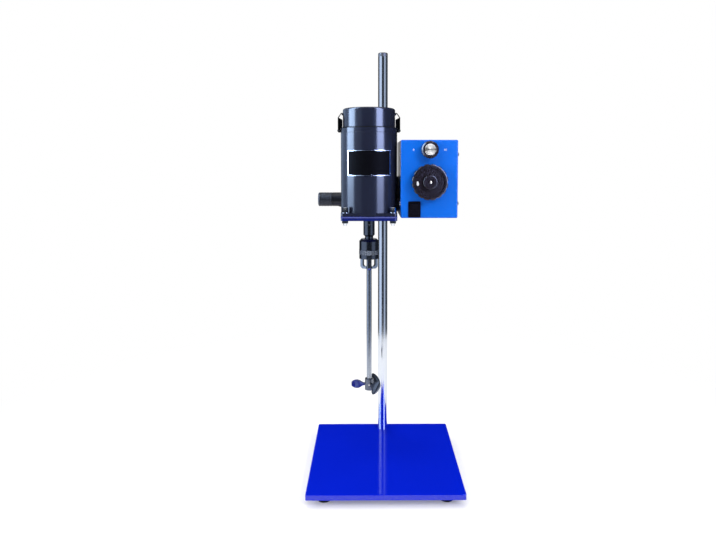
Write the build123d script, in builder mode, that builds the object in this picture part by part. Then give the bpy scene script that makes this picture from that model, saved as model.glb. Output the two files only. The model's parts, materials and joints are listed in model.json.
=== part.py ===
"""Laboratory overhead stirrer on a column stand.

Millimetres, +Z up. The origin is at the centre of the square base, on the surface that the feet stand on.
+X is to the right of a user who faces the control box, and the user stands on the -Y side.
"""

import os
from math import atan, cos, degrees, pi, radians, sin

from build123d import *

# Fits
running_gap = 0.05
seat_gap = 0.1
shake_gap = 0.3
tip_gap = 0.5
cut_past = 1.0

# Stand
base_side = 280.0
base_thick = 10.0
base_corner = 3.0
base_edge = 1.0
foot_height = 15.0
foot_top_d = 30.0
foot_bottom_d = 24.0
foot_inset = 31.0
foot_screw_d = 5.0
foot_screw_head_d = 9.5
foot_screw_head = 4.0
foot_screw_recess = 7.0
foot_screw_grip = 7.0
foot_recess_d = 11.5
column_d = 20.0
column_wall = 2.5
column_height = 800.0
column_inset = 20.0
column_cap_height = 8.0
column_cap_plug = 14.0
column_cap_round = 2.0
column_plug_length = 30.0
column_stud_d = 12.0
column_nut_af = 19.0
column_nut_height = 8.0
column_flange_d = 26.0
column_flange_thick = 2.0

# Clamp on the column
clamp_height = 71.0
clamp_boss_d = 38.0
liner_wall = 3.0
liner_flange = 2.4
liner_flange_thick = 2.0
liner_slit = 2.0
screw_level = 22.5
screw_d = 10.0
screw_pitch = 1.5
screw_turns_open = 2.0
screw_boss_d = 29.0
screw_boss_end = 106.0
pad_pocket_end = 1.0
pad_d = 14.0
pad_length = 8.0
pad_socket_d = 5.0
pad_socket_depth = 4.0
grip_d = 29.0
grip_length = 29.0
grip_stub_d = 8.0
grip_gap = 0.6
grip_groove = 1.0
grip_groove_pitch = 6.0
grip_groove_start = 5.0
grip_grooves = 4
grip_outer_round = 3.0
grip_inner_round = 1.0
grip_stub_length = 23.0
foot_flange_thick = 8.0
foot_flange_reach = 44.0
foot_flange_width = 101.0
web_thick = 9.0
web_end_drop = 2.0
web_step_in = 10.0
web_step_rise = 9.0
rib_thick = 6.0
rib_from_left = 10.0
rib_pitch = 30.5
rib_toe = 4.0
rib_rise = 6.0
rib_bite = 2.0
casting_bolt_d = 8.0
casting_bolt_reach = 30.0
casting_bolt_pitch = 39.0
casting_bolt_head_d = 13.0
casting_bolt_head = 5.0
casting_bolt_depth = 7.0
box_pad_reach = 34.0
box_pad_thick = 26.0
box_pad_left = 6.0
box_pad_height = 71.0
box_screw_depth = 10.0

# Mounting plate under the motor
plate_level = 474.0
plate_width = 105.0
plate_thick = 8.5
plate_corner = 5.0
plate_past_column = 14.0
plate_edge = 0.8
arbor_hole_d = 27.0
column_hole_d = 34.0

# Motor
motor_x = -29.0
arm_reach = 105.0
flange_thick = 6.0
flange_corner = 6.0
stud_pitch = 89.0
stud_d = 6.0
nut_af = 10.0
nut_height = 5.0
washer_d = 12.0
washer_thick = 1.2
stud_end = 2.5
cap_nut_height = 9.5
cap_nut_dome_d = 9.2
cap_nut_taper = 24.0
housing_d = 108.0
housing_wall = 3.0
housing_height = 155.5
housing_floor = 10.0
shield_thick = 8.5
shield_spigot = 4.0
shield_spigot_wall = 5.0
shield_rim = 3.0
shield_rim_wall = 4.0
shield_hub_wall = 4.0
shield_hub_drop = 11.0
shield_window_length = 21.0
shield_window_width = 18.0
shield_window_r = 28.5
cap_d = 100.0
cap_height = 37.5
cap_wall = 2.0
cap_round = 4.0
vent_count = 12
vent_width = 3.0
vent_inner = 22.0
vent_outer = 40.0
shaft_d = 12.0
shaft_passage = 2.0
shaft_drop = 20.0
shaft_end_gap = 2.0
lower_bearing_d = 28.0
lower_bearing_width = 9.0
lower_bearing_rise = 3.0
upper_bearing_d = 22.0
upper_bearing_width = 7.0
upper_bearing_drop = 4.0
bearing_ring = 1.6
bearing_groove = 0.6
bearing_boss_wall = 5.0
core_height = 58.0
core_rise = 48.0
stator_back = 11.0
pole_bore_d = 56.8
pole_shoe = 4.6
pole_neck_width = 26.0
pole_shoe_angle = 96.0
coil_angle = 70.0
coil_overhang = 9.0
air_gap = 0.8
armature_slots = 12
slot_d = 5.0
slot_mouth = 0.8
winding_d = 48.0
winding_height = 11.0
winding_round = 3.0
commutator_d = 30.0
commutator_height = 18.0
commutator_rise = 123.0
commutator_bars = 16
bar_groove_deep = 0.6
bar_groove_wide = 0.8
fan_d = 92.0
fan_rise = 23.0
fan_disc = 1.6
fan_blades = 8
fan_blade_height = 9.0
fan_hub_wall = 5.0
brush_side = 8.0
brush_length = 18.0
brush_holder_wall = 2.0
brush_holder_length = 27.0
brush_holder_gap = 2.0
brush_below_middle = 2.0
hanger_thick = 10.0
hanger_out = 8.0
brush_gap = 0.1
nameplate_width_angle = 91.0
nameplate_height = 47.0
nameplate_rise = 75.0
nameplate_thick = 0.8

# Side clips on the cap
clip_pin_d = 3.0
clip_pin_out = 3.2
clip_pin_drop = 4.0
clip_width = 14.0
clip_sheet = 1.2
clip_flange_in = 0.9
clip_top_rise = 21.0
clip_hook_rise = 28.5
clip_hook_width = 8.0
clip_shoulder = 3.0
clip_eye_wall = 0.7
clip_web_out = 1.0
clip_pin_end = 0.6
clip_arm_drop = 0.6
hook_cap_gap = 0.4
hook_catch_gap = 0.8
ear_wall = 1.6
ear_gap = 0.3
catch_width = 12.0
catch_reach = 2.0
catch_height = 3.0

# Spindle, chuck, shaft and propeller
arbor_d = 22.0
arbor_in_plate = 3.0
arbor_length = 37.5
arbor_neck_d = 16.0
arbor_chamfer = 3.0
chuck_socket = 6.0
set_screw_d = 4.0
set_screw_sunk = 0.5
arbor_screw_drop = 3.0
chuck_d = 38.0
chuck_top_drop = 47.5
chuck_cone = 4.5
chuck_cone_top_d = 30.0
chuck_body_height = 21.5
chuck_hub_d = 22.0
chuck_ring_height = 9.0
chuck_ring_teeth = 24
chuck_face_height = 8.0
jaw_count = 3
jaw_head_width = 9.0
jaw_neck_width = 6.0
jaw_neck_height = 3.5
jaw_drop = 21.0
jaw_finger = 5.0
jaw_outer = 18.0
jaw_hook = 4.5
jaw_head_inner = 8.0
jaw_travel = 1.5
jaw_edge_gap = 0.5
jaw_finger_round = 2.5
jaw_corner = 4.0
chuck_ring_proud = 0.3
chuck_ring_groove_deep = 0.8
chuck_ring_groove_wide = 2.0
stirring_shaft_d = 10.0
stirring_shaft_length = 288.0
stirring_shaft_in_chuck = 12.0
hub_d = 17.0
hub_height = 22.0
blade_count = 3
blade_thick = 2.6
propeller_r = 35.0
blade_root_r = 6.5
blade_root_chord = 8.0
blade_neck_r = 13.5
blade_neck_chord = 12.0
blade_wide_r = 24.0
blade_chord = 27.0
blade_outer_r = 31.0
blade_outer_chord = 24.0
blade_tip_chord = 10.0
shaft_past_hub = 0.5

# Control box
box_gap = 4.8
box_width = 106.4
box_top_drop = 14.1
box_front_reach = 42.0
box_depth = 130.0
box_sheet = 1.5
panel_flange = 12.0
panel_bend = 2.5
case_lip = 10.0
case_screw_d = 4.0
case_screw_head_d = 7.0
case_screw_head = 2.0
case_screw_pitch = 91.4
case_screw_back = 6.5
case_screw_shank = 5.0
box_screw_pitch = 40.0
box_screw_rise = 42.0
bushing_d = 18.0
bushing_bore_d = 12.0
bushing_collar_d = 23.0
bushing_rise = 39.0
bushing_lip = 4.0
gland_d = 16.0
gland_bore_d = 8.0
gland_flange_d = 22.0
gland_length = 18.0
gland_inside = 6.0
gland_hex = 3.0
gland_rise = 30.0
vent_rows = 6
vent_pitch = 9.0
vent_length = 40.0
vent_rise = 29.0

# Speed knob and variable transformer
speed_knob_d = 67.0
speed_knob_rim = 16.0
speed_knob_boss_d = 26.0
speed_knob_boss = 5.0
speed_knob_flutes = 16
flute_r = 4.5
flute_depth = 1.8
speed_knob_gap = 1.5
knob_gap = 10.4
speed_knob_round = 3.0
speed_knob_dish_d = 55.0
speed_knob_dish = 3.0
speed_boss_round = 1.5
speed_ring_d = 15.0
speed_ring_inner_d = 5.0
speed_ring_deep = 1.5
speed_socket = 13.5
variac_d = 86.0
variac_hole_d = 44.0
variac_depth = 35.0
variac_start = 30.0
variac_shaft_d = 6.4
variac_post_d = 6.0
variac_post_r = 40.0
variac_post_in = 8.0
variac_round = 4.0
variac_web = 4.0
variac_web_in = 8.0
variac_shaft_end = 2.0
brush_arm_gap = 4.0
brush_arm_hub_d = 14.0
brush_arm_reach = 35.0
brush_arm_thick = 3.0
brush_arm_width = 10.0
brush_tip_width = 6.0
brush_tip_end = 2.0
shaft_hole_gap = 1.0

# Timer
timer_knob_d = 31.5
timer_knob_height = 15.0
timer_knob_edge = 2.0
timer_cap_d = 21.5
timer_cap_thick = 1.6
timer_cap_edge = 0.4
timer_knob_gap = 1.0
timer_drop = 18.4
timer_shaft_d = 6.0
timer_shaft_in = 12.0
timer_body_side = 30.0
timer_body_depth = 40.0

# Power switch
switch_from_left = 25.5
switch_rise = 16.4
switch_knob_gap = 2.6
switch_bezel_width = 23.0
switch_bezel_height = 30.0
switch_bezel = 2.0
switch_bezel_corner = 1.5
switch_body_width = 19.0
switch_body_height = 26.6
switch_body_depth = 20.0
rocker_width = 16.0
rocker_length = 23.4
rocker_proud = 5.4
rocker_dish = 2.2
rocker_back = 3.0
rocker_pivot_in = 1.0
rocker_well = 3.0
rocker_sweep = 0.6
rocker_pin_end = 0.2
rocker_tilt = 10.0
rocker_pin_d = 3.0

# Places that follow from the sizes
base_top = foot_height + base_thick
column_y = base_side / 2 - column_inset
foot_flange_front = column_y - foot_flange_reach
casting_bolt_y = column_y - casting_bolt_reach
box_pad_front = column_y - box_pad_reach
box_pad_back = box_pad_front + box_pad_thick
plate_back = column_y + plate_past_column
column_r = column_d / 2
column_bore_r = column_r - column_wall
foot_pitch = base_side - 2 * foot_inset
plate_top = base_top + plate_level
plate_bottom = plate_top - plate_thick
motor_y = column_y - arm_reach
motor_left = motor_x - plate_width / 2
motor_right = motor_x + plate_width / 2
plate_front = motor_y - plate_width / 2
flange_top = plate_top + flange_thick
housing_top = plate_top + housing_height
shield_top = housing_top + shield_thick
housing_r = housing_d / 2
housing_bore_r = housing_r - housing_wall
shaft_r = shaft_d / 2
liner_r = column_r + running_gap + liner_wall
casting_bore_r = liner_r + running_gap
screw_z = plate_top + screw_level
pad_front_x = -(liner_r + running_gap)
pad_back_x = pad_front_x - pad_length
pad_pocket_x = pad_back_x - screw_turns_open * screw_pitch - pad_pocket_end
box_left = motor_x + housing_r + box_gap
box_right = box_left + box_width
box_top = housing_top - box_top_drop
timer_z = box_top - timer_drop
speed_z = timer_z - timer_knob_d / 2 - knob_gap - speed_knob_d / 2
switch_z = speed_z - speed_knob_d / 2 - switch_knob_gap - switch_bezel_height / 2
box_bottom = switch_z - switch_rise
box_height = box_top - box_bottom
box_front = motor_y - box_front_reach
box_back = box_front + box_depth
box_mid = (box_left + box_right) / 2
box_screw_y = (box_pad_front + box_back) / 2
case_front = box_front + panel_flange
panel_back = box_front + box_sheet
switch_x = box_left + switch_from_left
core_bottom = plate_top + core_rise
core_top = core_bottom + core_height
chuck_top = plate_top - chuck_top_drop
chuck_shoulder = chuck_top - chuck_body_height
chuck_face_top = chuck_shoulder - chuck_ring_height
chuck_bottom = chuck_face_top - chuck_face_height
jaw_bottom = chuck_bottom - jaw_drop
stirring_top = chuck_top - stirring_shaft_in_chuck
stirring_bottom = stirring_top - stirring_shaft_length
hub_bottom = stirring_bottom + shaft_past_hub

os.makedirs("parts", exist_ok=True)


def write_piece(builder, name):
    """Label a finished piece and write it under its own name."""
    builder.part.label = name
    export_step(builder.part, f"parts/{name}.step")


def motor_level(z):
    """A horizontal plane at height z, centred on the motor's axis."""
    return Plane((motor_x, motor_y, z))


def column_level(z):
    """A horizontal plane at height z, centred on the column's axis."""
    return Plane((0, column_y, z))


def facing_front(x, y, z):
    """A plane that faces the user: its X runs right, its Y up, and it extrudes towards -Y."""
    return Plane((x, y, z), x_dir=(1, 0, 0), z_dir=(0, -1, 0))


def facing_left(x, y, z):
    """A plane that faces -X: its Y runs up, and it extrudes towards -X."""
    return Plane((x, y, z), x_dir=(0, -1, 0), z_dir=(-1, 0, 0))


def radial_section(angle):
    """An upright plane through the motor's axis: its X runs outwards at this angle, its Y up."""
    return Plane(
        (motor_x, motor_y, 0),
        x_dir=(cos(angle), sin(angle), 0),
        z_dir=(sin(angle), -cos(angle), 0),
    )


motor_axis = Axis((motor_x, motor_y, 0), (0, 0, 1))
motor_section = facing_front(motor_x, motor_y, 0)


# Base plate
with BuildPart() as base_plate:
    with BuildSketch(Plane.XY.offset(foot_height)):
        RectangleRounded(base_side, base_side, base_corner)
    extrude(amount=base_thick)
    chamfer(base_plate.faces().sort_by(Axis.Z)[-1].edges(), base_edge)
    with BuildSketch(column_level(foot_height)):
        Circle(column_stud_d / 2 + running_gap)
    extrude(amount=base_thick, mode=Mode.SUBTRACT)
    with BuildSketch(Plane.XY.offset(foot_height)):
        with GridLocations(foot_pitch, foot_pitch, 2, 2):
            Circle(foot_screw_d / 2 + running_gap)
    extrude(amount=foot_screw_grip + tip_gap, mode=Mode.SUBTRACT)
write_piece(base_plate, "base_plate")

# Rubber feet, wider at the plate than at the table
foot_taper = -degrees(atan((foot_top_d - foot_bottom_d) / 2 / foot_height))
with BuildPart() as rubber_feet:
    with BuildSketch(Plane.XY):
        with GridLocations(foot_pitch, foot_pitch, 2, 2):
            Circle(foot_bottom_d / 2)
    extrude(amount=foot_height, taper=foot_taper)
    with BuildSketch(Plane.XY):
        with GridLocations(foot_pitch, foot_pitch, 2, 2):
            Circle(foot_recess_d / 2)
    extrude(amount=foot_screw_recess, mode=Mode.SUBTRACT)
    with BuildSketch(Plane.XY.offset(foot_screw_recess)):
        with GridLocations(foot_pitch, foot_pitch, 2, 2):
            Circle(foot_screw_d / 2 + running_gap)
    extrude(amount=foot_height, mode=Mode.SUBTRACT)
write_piece(rubber_feet, "rubber_feet")

with BuildPart() as foot_screws:
    with BuildSketch(Plane.XY.offset(foot_screw_recess - foot_screw_head)):
        with GridLocations(foot_pitch, foot_pitch, 2, 2):
            Circle(foot_screw_head_d / 2)
    extrude(amount=foot_screw_head)
    with BuildSketch(Plane.XY.offset(foot_screw_recess)):
        with GridLocations(foot_pitch, foot_pitch, 2, 2):
            Circle(foot_screw_d / 2)
    extrude(amount=foot_height - foot_screw_recess + foot_screw_grip)
write_piece(foot_screws, "foot_screws")

# Column: a chromed tube with a plug and stud at its foot and a cap on its top
tube_top = base_top + column_height - column_cap_height
with BuildPart() as column_tube:
    with BuildSketch(column_level(base_top)):
        Circle(column_r)
        Circle(column_bore_r, mode=Mode.SUBTRACT)
    extrude(amount=tube_top - base_top)
write_piece(column_tube, "column_tube")

with BuildPart() as column_top_cap:
    with BuildSketch(column_level(tube_top - column_cap_plug)):
        Circle(column_bore_r - seat_gap)
    extrude(amount=column_cap_plug)
    with BuildSketch(column_level(tube_top)):
        Circle(column_r)
    extrude(amount=column_cap_height)
    fillet(column_top_cap.faces().sort_by(Axis.Z)[-1].edges(), column_cap_round)
write_piece(column_top_cap, "column_top_cap")

nut_bottom = foot_height - column_flange_thick - column_nut_height
with BuildPart() as column_stud:
    with BuildSketch(column_level(base_top)):
        Circle(column_bore_r - running_gap)
    extrude(amount=column_plug_length)
    with BuildSketch(column_level(nut_bottom)):
        Circle(column_stud_d / 2)
    extrude(amount=base_top - nut_bottom)
write_piece(column_stud, "column_stud")

with BuildPart() as column_nut:
    with BuildSketch(column_level(foot_height - column_flange_thick)):
        Circle(column_flange_d / 2)
    extrude(amount=column_flange_thick)
    with BuildSketch(column_level(nut_bottom)):
        RegularPolygon(column_nut_af / 2, 6, major_radius=False)
    extrude(amount=column_nut_height)
    with BuildSketch(column_level(nut_bottom)):
        Circle(column_stud_d / 2 + running_gap)
    extrude(amount=column_nut_height + column_flange_thick, mode=Mode.SUBTRACT)
write_piece(column_nut, "column_nut")

# Split liner: it slides on the column, and the clamp casting swivels on it
liner_bottom = plate_top - seat_gap - liner_flange_thick
liner_length = clamp_height + 2 * seat_gap + 2 * liner_flange_thick
upper_flange_z = liner_bottom + liner_length - liner_flange_thick
with BuildPart() as clamp_liner:
    with BuildSketch(column_level(liner_bottom)):
        Circle(liner_r)
    extrude(amount=liner_length)
    with BuildSketch(column_level(liner_bottom), column_level(upper_flange_z)):
        Circle(liner_r + liner_flange)
    extrude(amount=liner_flange_thick)
    with BuildSketch(column_level(liner_bottom)):
        Circle(column_r + running_gap)
        with Locations((liner_r, 0)):
            Rectangle(2 * liner_r, liner_slit)
    extrude(amount=liner_length, mode=Mode.SUBTRACT)
write_piece(clamp_liner, "clamp_liner")

# Clamp casting: column boss, long screw boss, web, foot flange, ribs and the pad that carries the control box
with BuildPart() as clamp_casting:
    with BuildSketch(column_level(plate_top)):
        Circle(clamp_boss_d / 2)
    extrude(amount=clamp_height)
    with BuildSketch(Plane.XY.offset(plate_top)):
        with Locations(((motor_left + motor_right) / 2, (foot_flange_front + plate_back) / 2)):
            RectangleRounded(foot_flange_width, plate_back - foot_flange_front, plate_corner)
    extrude(amount=foot_flange_thick)
    with BuildSketch(facing_left(0, column_y, screw_z)):
        Circle(screw_boss_d / 2)
    extrude(amount=screw_boss_end)
    with BuildSketch(facing_front(0, column_y + web_thick / 2, 0)):
        with BuildLine():
            Polyline(
                (-screw_boss_end, screw_z),
                (-screw_boss_end, screw_z - web_end_drop),
                (-screw_boss_end + web_step_in, plate_top + web_step_rise),
                (motor_x - foot_flange_width / 2, plate_top + foot_flange_thick / 2),
                (0, plate_top + foot_flange_thick / 2),
                (0, screw_z),
                close=True,
            )
        make_face()
    extrude(amount=web_thick)
    for rib_x in (motor_left + rib_from_left, motor_left + rib_from_left + rib_pitch):
        with BuildSketch(facing_left(rib_x + rib_thick / 2, 0, plate_top)):
            with BuildLine():
                Polyline(
                    (-foot_flange_front - rib_toe, foot_flange_thick / 2),
                    (-column_y, foot_flange_thick / 2),
                    (-column_y, screw_level + rib_rise),
                    (-column_y + screw_boss_d / 2 - rib_bite, screw_level),
                    close=True,
                )
            make_face()
        extrude(amount=rib_thick)
    with BuildSketch(Plane.XY.offset(plate_top)):
        with Locations(((box_pad_left + box_left) / 2, (box_pad_front + box_pad_back) / 2)):
            Rectangle(box_left - box_pad_left, box_pad_back - box_pad_front)
    extrude(amount=box_pad_height)
    with BuildSketch(column_level(plate_top)):
        Circle(casting_bore_r)
    extrude(amount=clamp_height, mode=Mode.SUBTRACT)
    with BuildSketch(facing_left(0, column_y, screw_z)):
        Circle(pad_d / 2 + running_gap)
    extrude(amount=-pad_pocket_x, mode=Mode.SUBTRACT)
    with BuildSketch(facing_left(0, column_y, screw_z)):
        Circle(screw_d / 2 + running_gap)
    extrude(amount=screw_boss_end, mode=Mode.SUBTRACT)
    with BuildSketch(Plane.XY.offset(plate_top)):
        with Locations((motor_x, casting_bolt_y)):
            with GridLocations(casting_bolt_pitch, 0, 3, 1):
                Circle(casting_bolt_d / 2 + running_gap)
    extrude(amount=casting_bolt_depth, mode=Mode.SUBTRACT)
    with BuildSketch(facing_left(box_left, box_screw_y, plate_top + box_screw_rise)):
        with GridLocations(0, box_screw_pitch, 1, 2):
            Circle(case_screw_d / 2 + running_gap)
    extrude(amount=box_screw_depth, mode=Mode.SUBTRACT)
write_piece(clamp_casting, "clamp_casting")

with BuildPart() as casting_bolts:
    with BuildSketch(Plane.XY.offset(plate_bottom - casting_bolt_head)):
        with Locations((motor_x, casting_bolt_y)):
            with GridLocations(casting_bolt_pitch, 0, 3, 1):
                RegularPolygon(casting_bolt_head_d / 2, 6, major_radius=False)
    extrude(amount=casting_bolt_head)
    with BuildSketch(Plane.XY.offset(plate_bottom)):
        with Locations((motor_x, casting_bolt_y)):
            with GridLocations(casting_bolt_pitch, 0, 3, 1):
                Circle(casting_bolt_d / 2)
    extrude(amount=plate_thick + casting_bolt_depth - tip_gap)
write_piece(casting_bolts, "casting_bolts")

# Clamp pad, which the screw presses against the liner, and the screw with its ribbed grip
with BuildPart() as clamp_pad:
    with BuildSketch(facing_left(0, column_y, screw_z)):
        Circle(pad_d / 2)
    extrude(amount=-pad_back_x)
    with BuildSketch(column_level(screw_z - pad_d)):
        Circle(-pad_front_x)
    extrude(amount=2 * pad_d, mode=Mode.SUBTRACT)
    with BuildSketch(facing_left(pad_back_x, column_y, screw_z)):
        Circle(pad_socket_d / 2)
    extrude(amount=-pad_socket_depth, mode=Mode.SUBTRACT)
write_piece(clamp_pad, "clamp_pad")

with BuildPart() as clamp_screw:
    with BuildSketch(facing_left(pad_back_x - running_gap, column_y, screw_z)):
        Circle(screw_d / 2)
    extrude(amount=screw_boss_end + grip_gap + pad_back_x - running_gap)
    with BuildSketch(facing_left(pad_back_x - running_gap, column_y, screw_z)):
        Circle(pad_socket_d / 2 - running_gap)
    extrude(amount=-pad_socket_depth + 2 * running_gap)
    with BuildSketch(facing_left(-screw_boss_end - grip_gap, column_y, screw_z)):
        Circle(grip_stub_d / 2)
    extrude(amount=grip_stub_length)
write_piece(clamp_screw, "clamp_screw")

with BuildPart() as clamp_grip:
    with BuildSketch(facing_left(-screw_boss_end - grip_gap, column_y, screw_z)):
        Circle(grip_d / 2)
    extrude(amount=grip_length)
    fillet(clamp_grip.faces().sort_by(Axis.X)[0].edges(), grip_outer_round)
    fillet(clamp_grip.faces().sort_by(Axis.X)[-1].edges(), grip_inner_round)
    for step in range(grip_grooves):
        groove_x = -screw_boss_end - grip_gap - grip_groove_start - step * grip_groove_pitch
        with BuildSketch(facing_left(groove_x, column_y, screw_z)):
            Circle(grip_d / 2 + cut_past)
            Circle(grip_d / 2 - grip_groove, mode=Mode.SUBTRACT)
        extrude(amount=grip_groove, mode=Mode.SUBTRACT)
    with BuildSketch(facing_left(-screw_boss_end - grip_gap, column_y, screw_z)):
        Circle(grip_stub_d / 2 + running_gap)
    extrude(amount=grip_stub_length + tip_gap, mode=Mode.SUBTRACT)
write_piece(clamp_grip, "clamp_grip")

# Mounting plate: it carries the motor in front and the clamp casting behind
plate_length = plate_back - plate_front
with BuildPart() as mounting_plate:
    with BuildSketch(Plane((motor_x, (plate_front + plate_back) / 2, plate_bottom))):
        RectangleRounded(plate_width, plate_length, plate_corner)
    extrude(amount=plate_thick)
    chamfer(mounting_plate.faces().sort_by(Axis.Z)[-1].edges(), plate_edge)
    with BuildSketch(motor_level(plate_bottom)):
        Circle(arbor_hole_d / 2)
        with GridLocations(stud_pitch, stud_pitch, 2, 2):
            Circle(stud_d / 2 + running_gap)
    extrude(amount=plate_thick, mode=Mode.SUBTRACT)
    with BuildSketch(column_level(plate_bottom)):
        Circle(column_hole_d / 2)
    extrude(amount=plate_thick, mode=Mode.SUBTRACT)
    with BuildSketch(Plane.XY.offset(plate_bottom)):
        with Locations((motor_x, casting_bolt_y)):
            with GridLocations(casting_bolt_pitch, 0, 3, 1):
                Circle(casting_bolt_d / 2 + running_gap)
    extrude(amount=plate_thick, mode=Mode.SUBTRACT)
write_piece(mounting_plate, "mounting_plate")

# Motor housing: square flange, open-topped shell, floor with the lower bearing's boss
bearing_boss_r = lower_bearing_d / 2 + bearing_boss_wall
bearing_bottom = flange_top + lower_bearing_rise
bearing_top = bearing_bottom + lower_bearing_width
with BuildPart() as motor_housing:
    with BuildSketch(motor_level(plate_top)):
        RectangleRounded(plate_width, plate_width, flange_corner)
    extrude(amount=flange_thick)
    with BuildSketch(motor_level(plate_top)):
        Circle(housing_r)
    extrude(amount=housing_height)
    with BuildSketch(motor_level(plate_top + housing_floor)):
        Circle(housing_bore_r)
    extrude(amount=housing_height, mode=Mode.SUBTRACT)
    with BuildSketch(motor_level(plate_top)):
        Circle(bearing_boss_r)
    extrude(amount=bearing_top - plate_top)
    with BuildSketch(motor_level(bearing_bottom)):
        Circle(lower_bearing_d / 2 + running_gap)
    extrude(amount=bearing_top, mode=Mode.SUBTRACT)
    with BuildSketch(motor_level(plate_top)):
        Circle(shaft_r + shaft_passage)
        with GridLocations(stud_pitch, stud_pitch, 2, 2):
            Circle(stud_d / 2 + running_gap)
    extrude(amount=housing_floor, mode=Mode.SUBTRACT)
    with BuildSketch(facing_left(motor_x + housing_r + cut_past, motor_y, plate_top + bushing_rise)):
        Circle(bushing_d / 2 + running_gap)
    extrude(amount=housing_r / 2, mode=Mode.SUBTRACT)
write_piece(motor_housing, "motor_housing")

# Fasteners at the flange's corners: stud, nut with washer above, cap nut below
stud_top = flange_top + washer_thick + nut_height + stud_end
with BuildPart() as mounting_studs:
    with BuildSketch(motor_level(plate_bottom - cap_nut_height / 2)):
        with GridLocations(stud_pitch, stud_pitch, 2, 2):
            Circle(stud_d / 2)
    extrude(amount=stud_top - plate_bottom + cap_nut_height / 2)
write_piece(mounting_studs, "mounting_studs")

with BuildPart() as mounting_nuts:
    with BuildSketch(motor_level(flange_top)):
        with GridLocations(stud_pitch, stud_pitch, 2, 2):
            Circle(washer_d / 2)
    extrude(amount=washer_thick)
    with BuildSketch(motor_level(flange_top + washer_thick)):
        with GridLocations(stud_pitch, stud_pitch, 2, 2):
            RegularPolygon(nut_af / 2, 6, major_radius=False)
    extrude(amount=nut_height)
    with BuildSketch(motor_level(flange_top)):
        with GridLocations(stud_pitch, stud_pitch, 2, 2):
            Circle(stud_d / 2 + running_gap)
    extrude(amount=washer_thick + nut_height, mode=Mode.SUBTRACT)
write_piece(mounting_nuts, "mounting_nuts")

cap_nut_hex = cap_nut_height / 2
with BuildPart() as cap_nuts:
    with BuildSketch(motor_level(plate_bottom)):
        with GridLocations(stud_pitch, stud_pitch, 2, 2):
            RegularPolygon(nut_af / 2, 6, major_radius=False)
    extrude(amount=-cap_nut_hex)
    with BuildSketch(motor_level(plate_bottom - cap_nut_hex)):
        with GridLocations(stud_pitch, stud_pitch, 2, 2):
            Circle(cap_nut_dome_d / 2)
    extrude(amount=-cap_nut_hex, taper=cap_nut_taper)
    with BuildSketch(motor_level(plate_bottom)):
        with GridLocations(stud_pitch, stud_pitch, 2, 2):
            Circle(stud_d / 2 + running_gap)
    extrude(amount=-cap_nut_hex - running_gap, mode=Mode.SUBTRACT)
write_piece(cap_nuts, "cap_nuts")

# Stator: a laminated ring with two poles, and a coil round each pole's neck
pole_bore_r = pole_bore_d / 2
shoe_r = pole_bore_r + pole_shoe
yoke_r = housing_bore_r - stator_back


def sector(inner_r, outer_r, angle):
    """A ring sector of this angle, centred on the sketch's X axis."""
    side_x = 2 * outer_r * cos(radians(angle / 2))
    side_y = 2 * outer_r * sin(radians(angle / 2))
    with BuildSketch() as shape:
        with BuildLine():
            Polyline((0, 0), (side_x, -side_y), (side_x, side_y), close=True)
        make_face()
        Circle(outer_r, mode=Mode.INTERSECT)
        Circle(inner_r, mode=Mode.SUBTRACT)
    return shape.sketch


pole_shoe_face = sector(pole_bore_r, shoe_r, pole_shoe_angle)
coil_face = sector(shoe_r + shake_gap, yoke_r - shake_gap, coil_angle)
with BuildPart() as stator_core:
    with BuildSketch(motor_level(core_bottom)):
        Rectangle(2 * (yoke_r + cut_past), pole_neck_width)
        Circle(housing_bore_r - running_gap)
        Circle(yoke_r, mode=Mode.SUBTRACT)
        Rectangle(2 * (yoke_r + cut_past), pole_neck_width)
        add(pole_shoe_face)
        add(pole_shoe_face, rotation=180)
        Circle(pole_bore_r, mode=Mode.SUBTRACT)
    extrude(amount=core_height)
write_piece(stator_core, "stator_core")

with BuildPart() as field_coils:
    with BuildSketch(motor_level(core_bottom - coil_overhang)):
        add(coil_face)
        add(coil_face, rotation=180)
    extrude(amount=core_height + 2 * coil_overhang)
    with BuildSketch(motor_level(core_bottom - shake_gap)):
        Rectangle(2 * housing_d, pole_neck_width + 2 * shake_gap)
    extrude(amount=core_height + 2 * shake_gap, mode=Mode.SUBTRACT)
write_piece(field_coils, "field_coils")

# Rotor inside the motor
shaft_bottom = plate_bottom - shaft_drop
shaft_top = shield_top - shaft_end_gap
with BuildPart() as motor_shaft:
    with BuildSketch(motor_level(shaft_bottom)):
        Circle(shaft_r)
    extrude(amount=shaft_top - shaft_bottom)
write_piece(motor_shaft, "motor_shaft")

armature_r = pole_bore_r - air_gap
with BuildPart() as armature_core:
    with BuildSketch(motor_level(core_bottom)):
        Circle(armature_r)
        Circle(shaft_r + running_gap, mode=Mode.SUBTRACT)
        with PolarLocations(armature_r - slot_d / 2 + slot_mouth, armature_slots):
            Circle(slot_d / 2, mode=Mode.SUBTRACT)
    extrude(amount=core_height)
write_piece(armature_core, "armature_core")

with BuildPart() as armature_winding:
    with BuildSketch(motor_level(core_bottom - winding_height), motor_level(core_top)):
        Circle(winding_d / 2)
        Circle(shaft_r + running_gap, mode=Mode.SUBTRACT)
    extrude(amount=winding_height)
    fillet(armature_winding.edges().filter_by(GeomType.CIRCLE).group_by(SortBy.RADIUS)[-1], winding_round)
write_piece(armature_winding, "armature_winding")

commutator_bottom = plate_top + commutator_rise
commutator_r = commutator_d / 2
with BuildPart() as commutator:
    with BuildSketch(motor_level(commutator_bottom)):
        Circle(commutator_r)
        Circle(shaft_r + running_gap, mode=Mode.SUBTRACT)
        with PolarLocations(commutator_r, commutator_bars):
            Rectangle(2 * bar_groove_deep, bar_groove_wide, mode=Mode.SUBTRACT)
    extrude(amount=commutator_height)
write_piece(commutator, "commutator")

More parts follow.
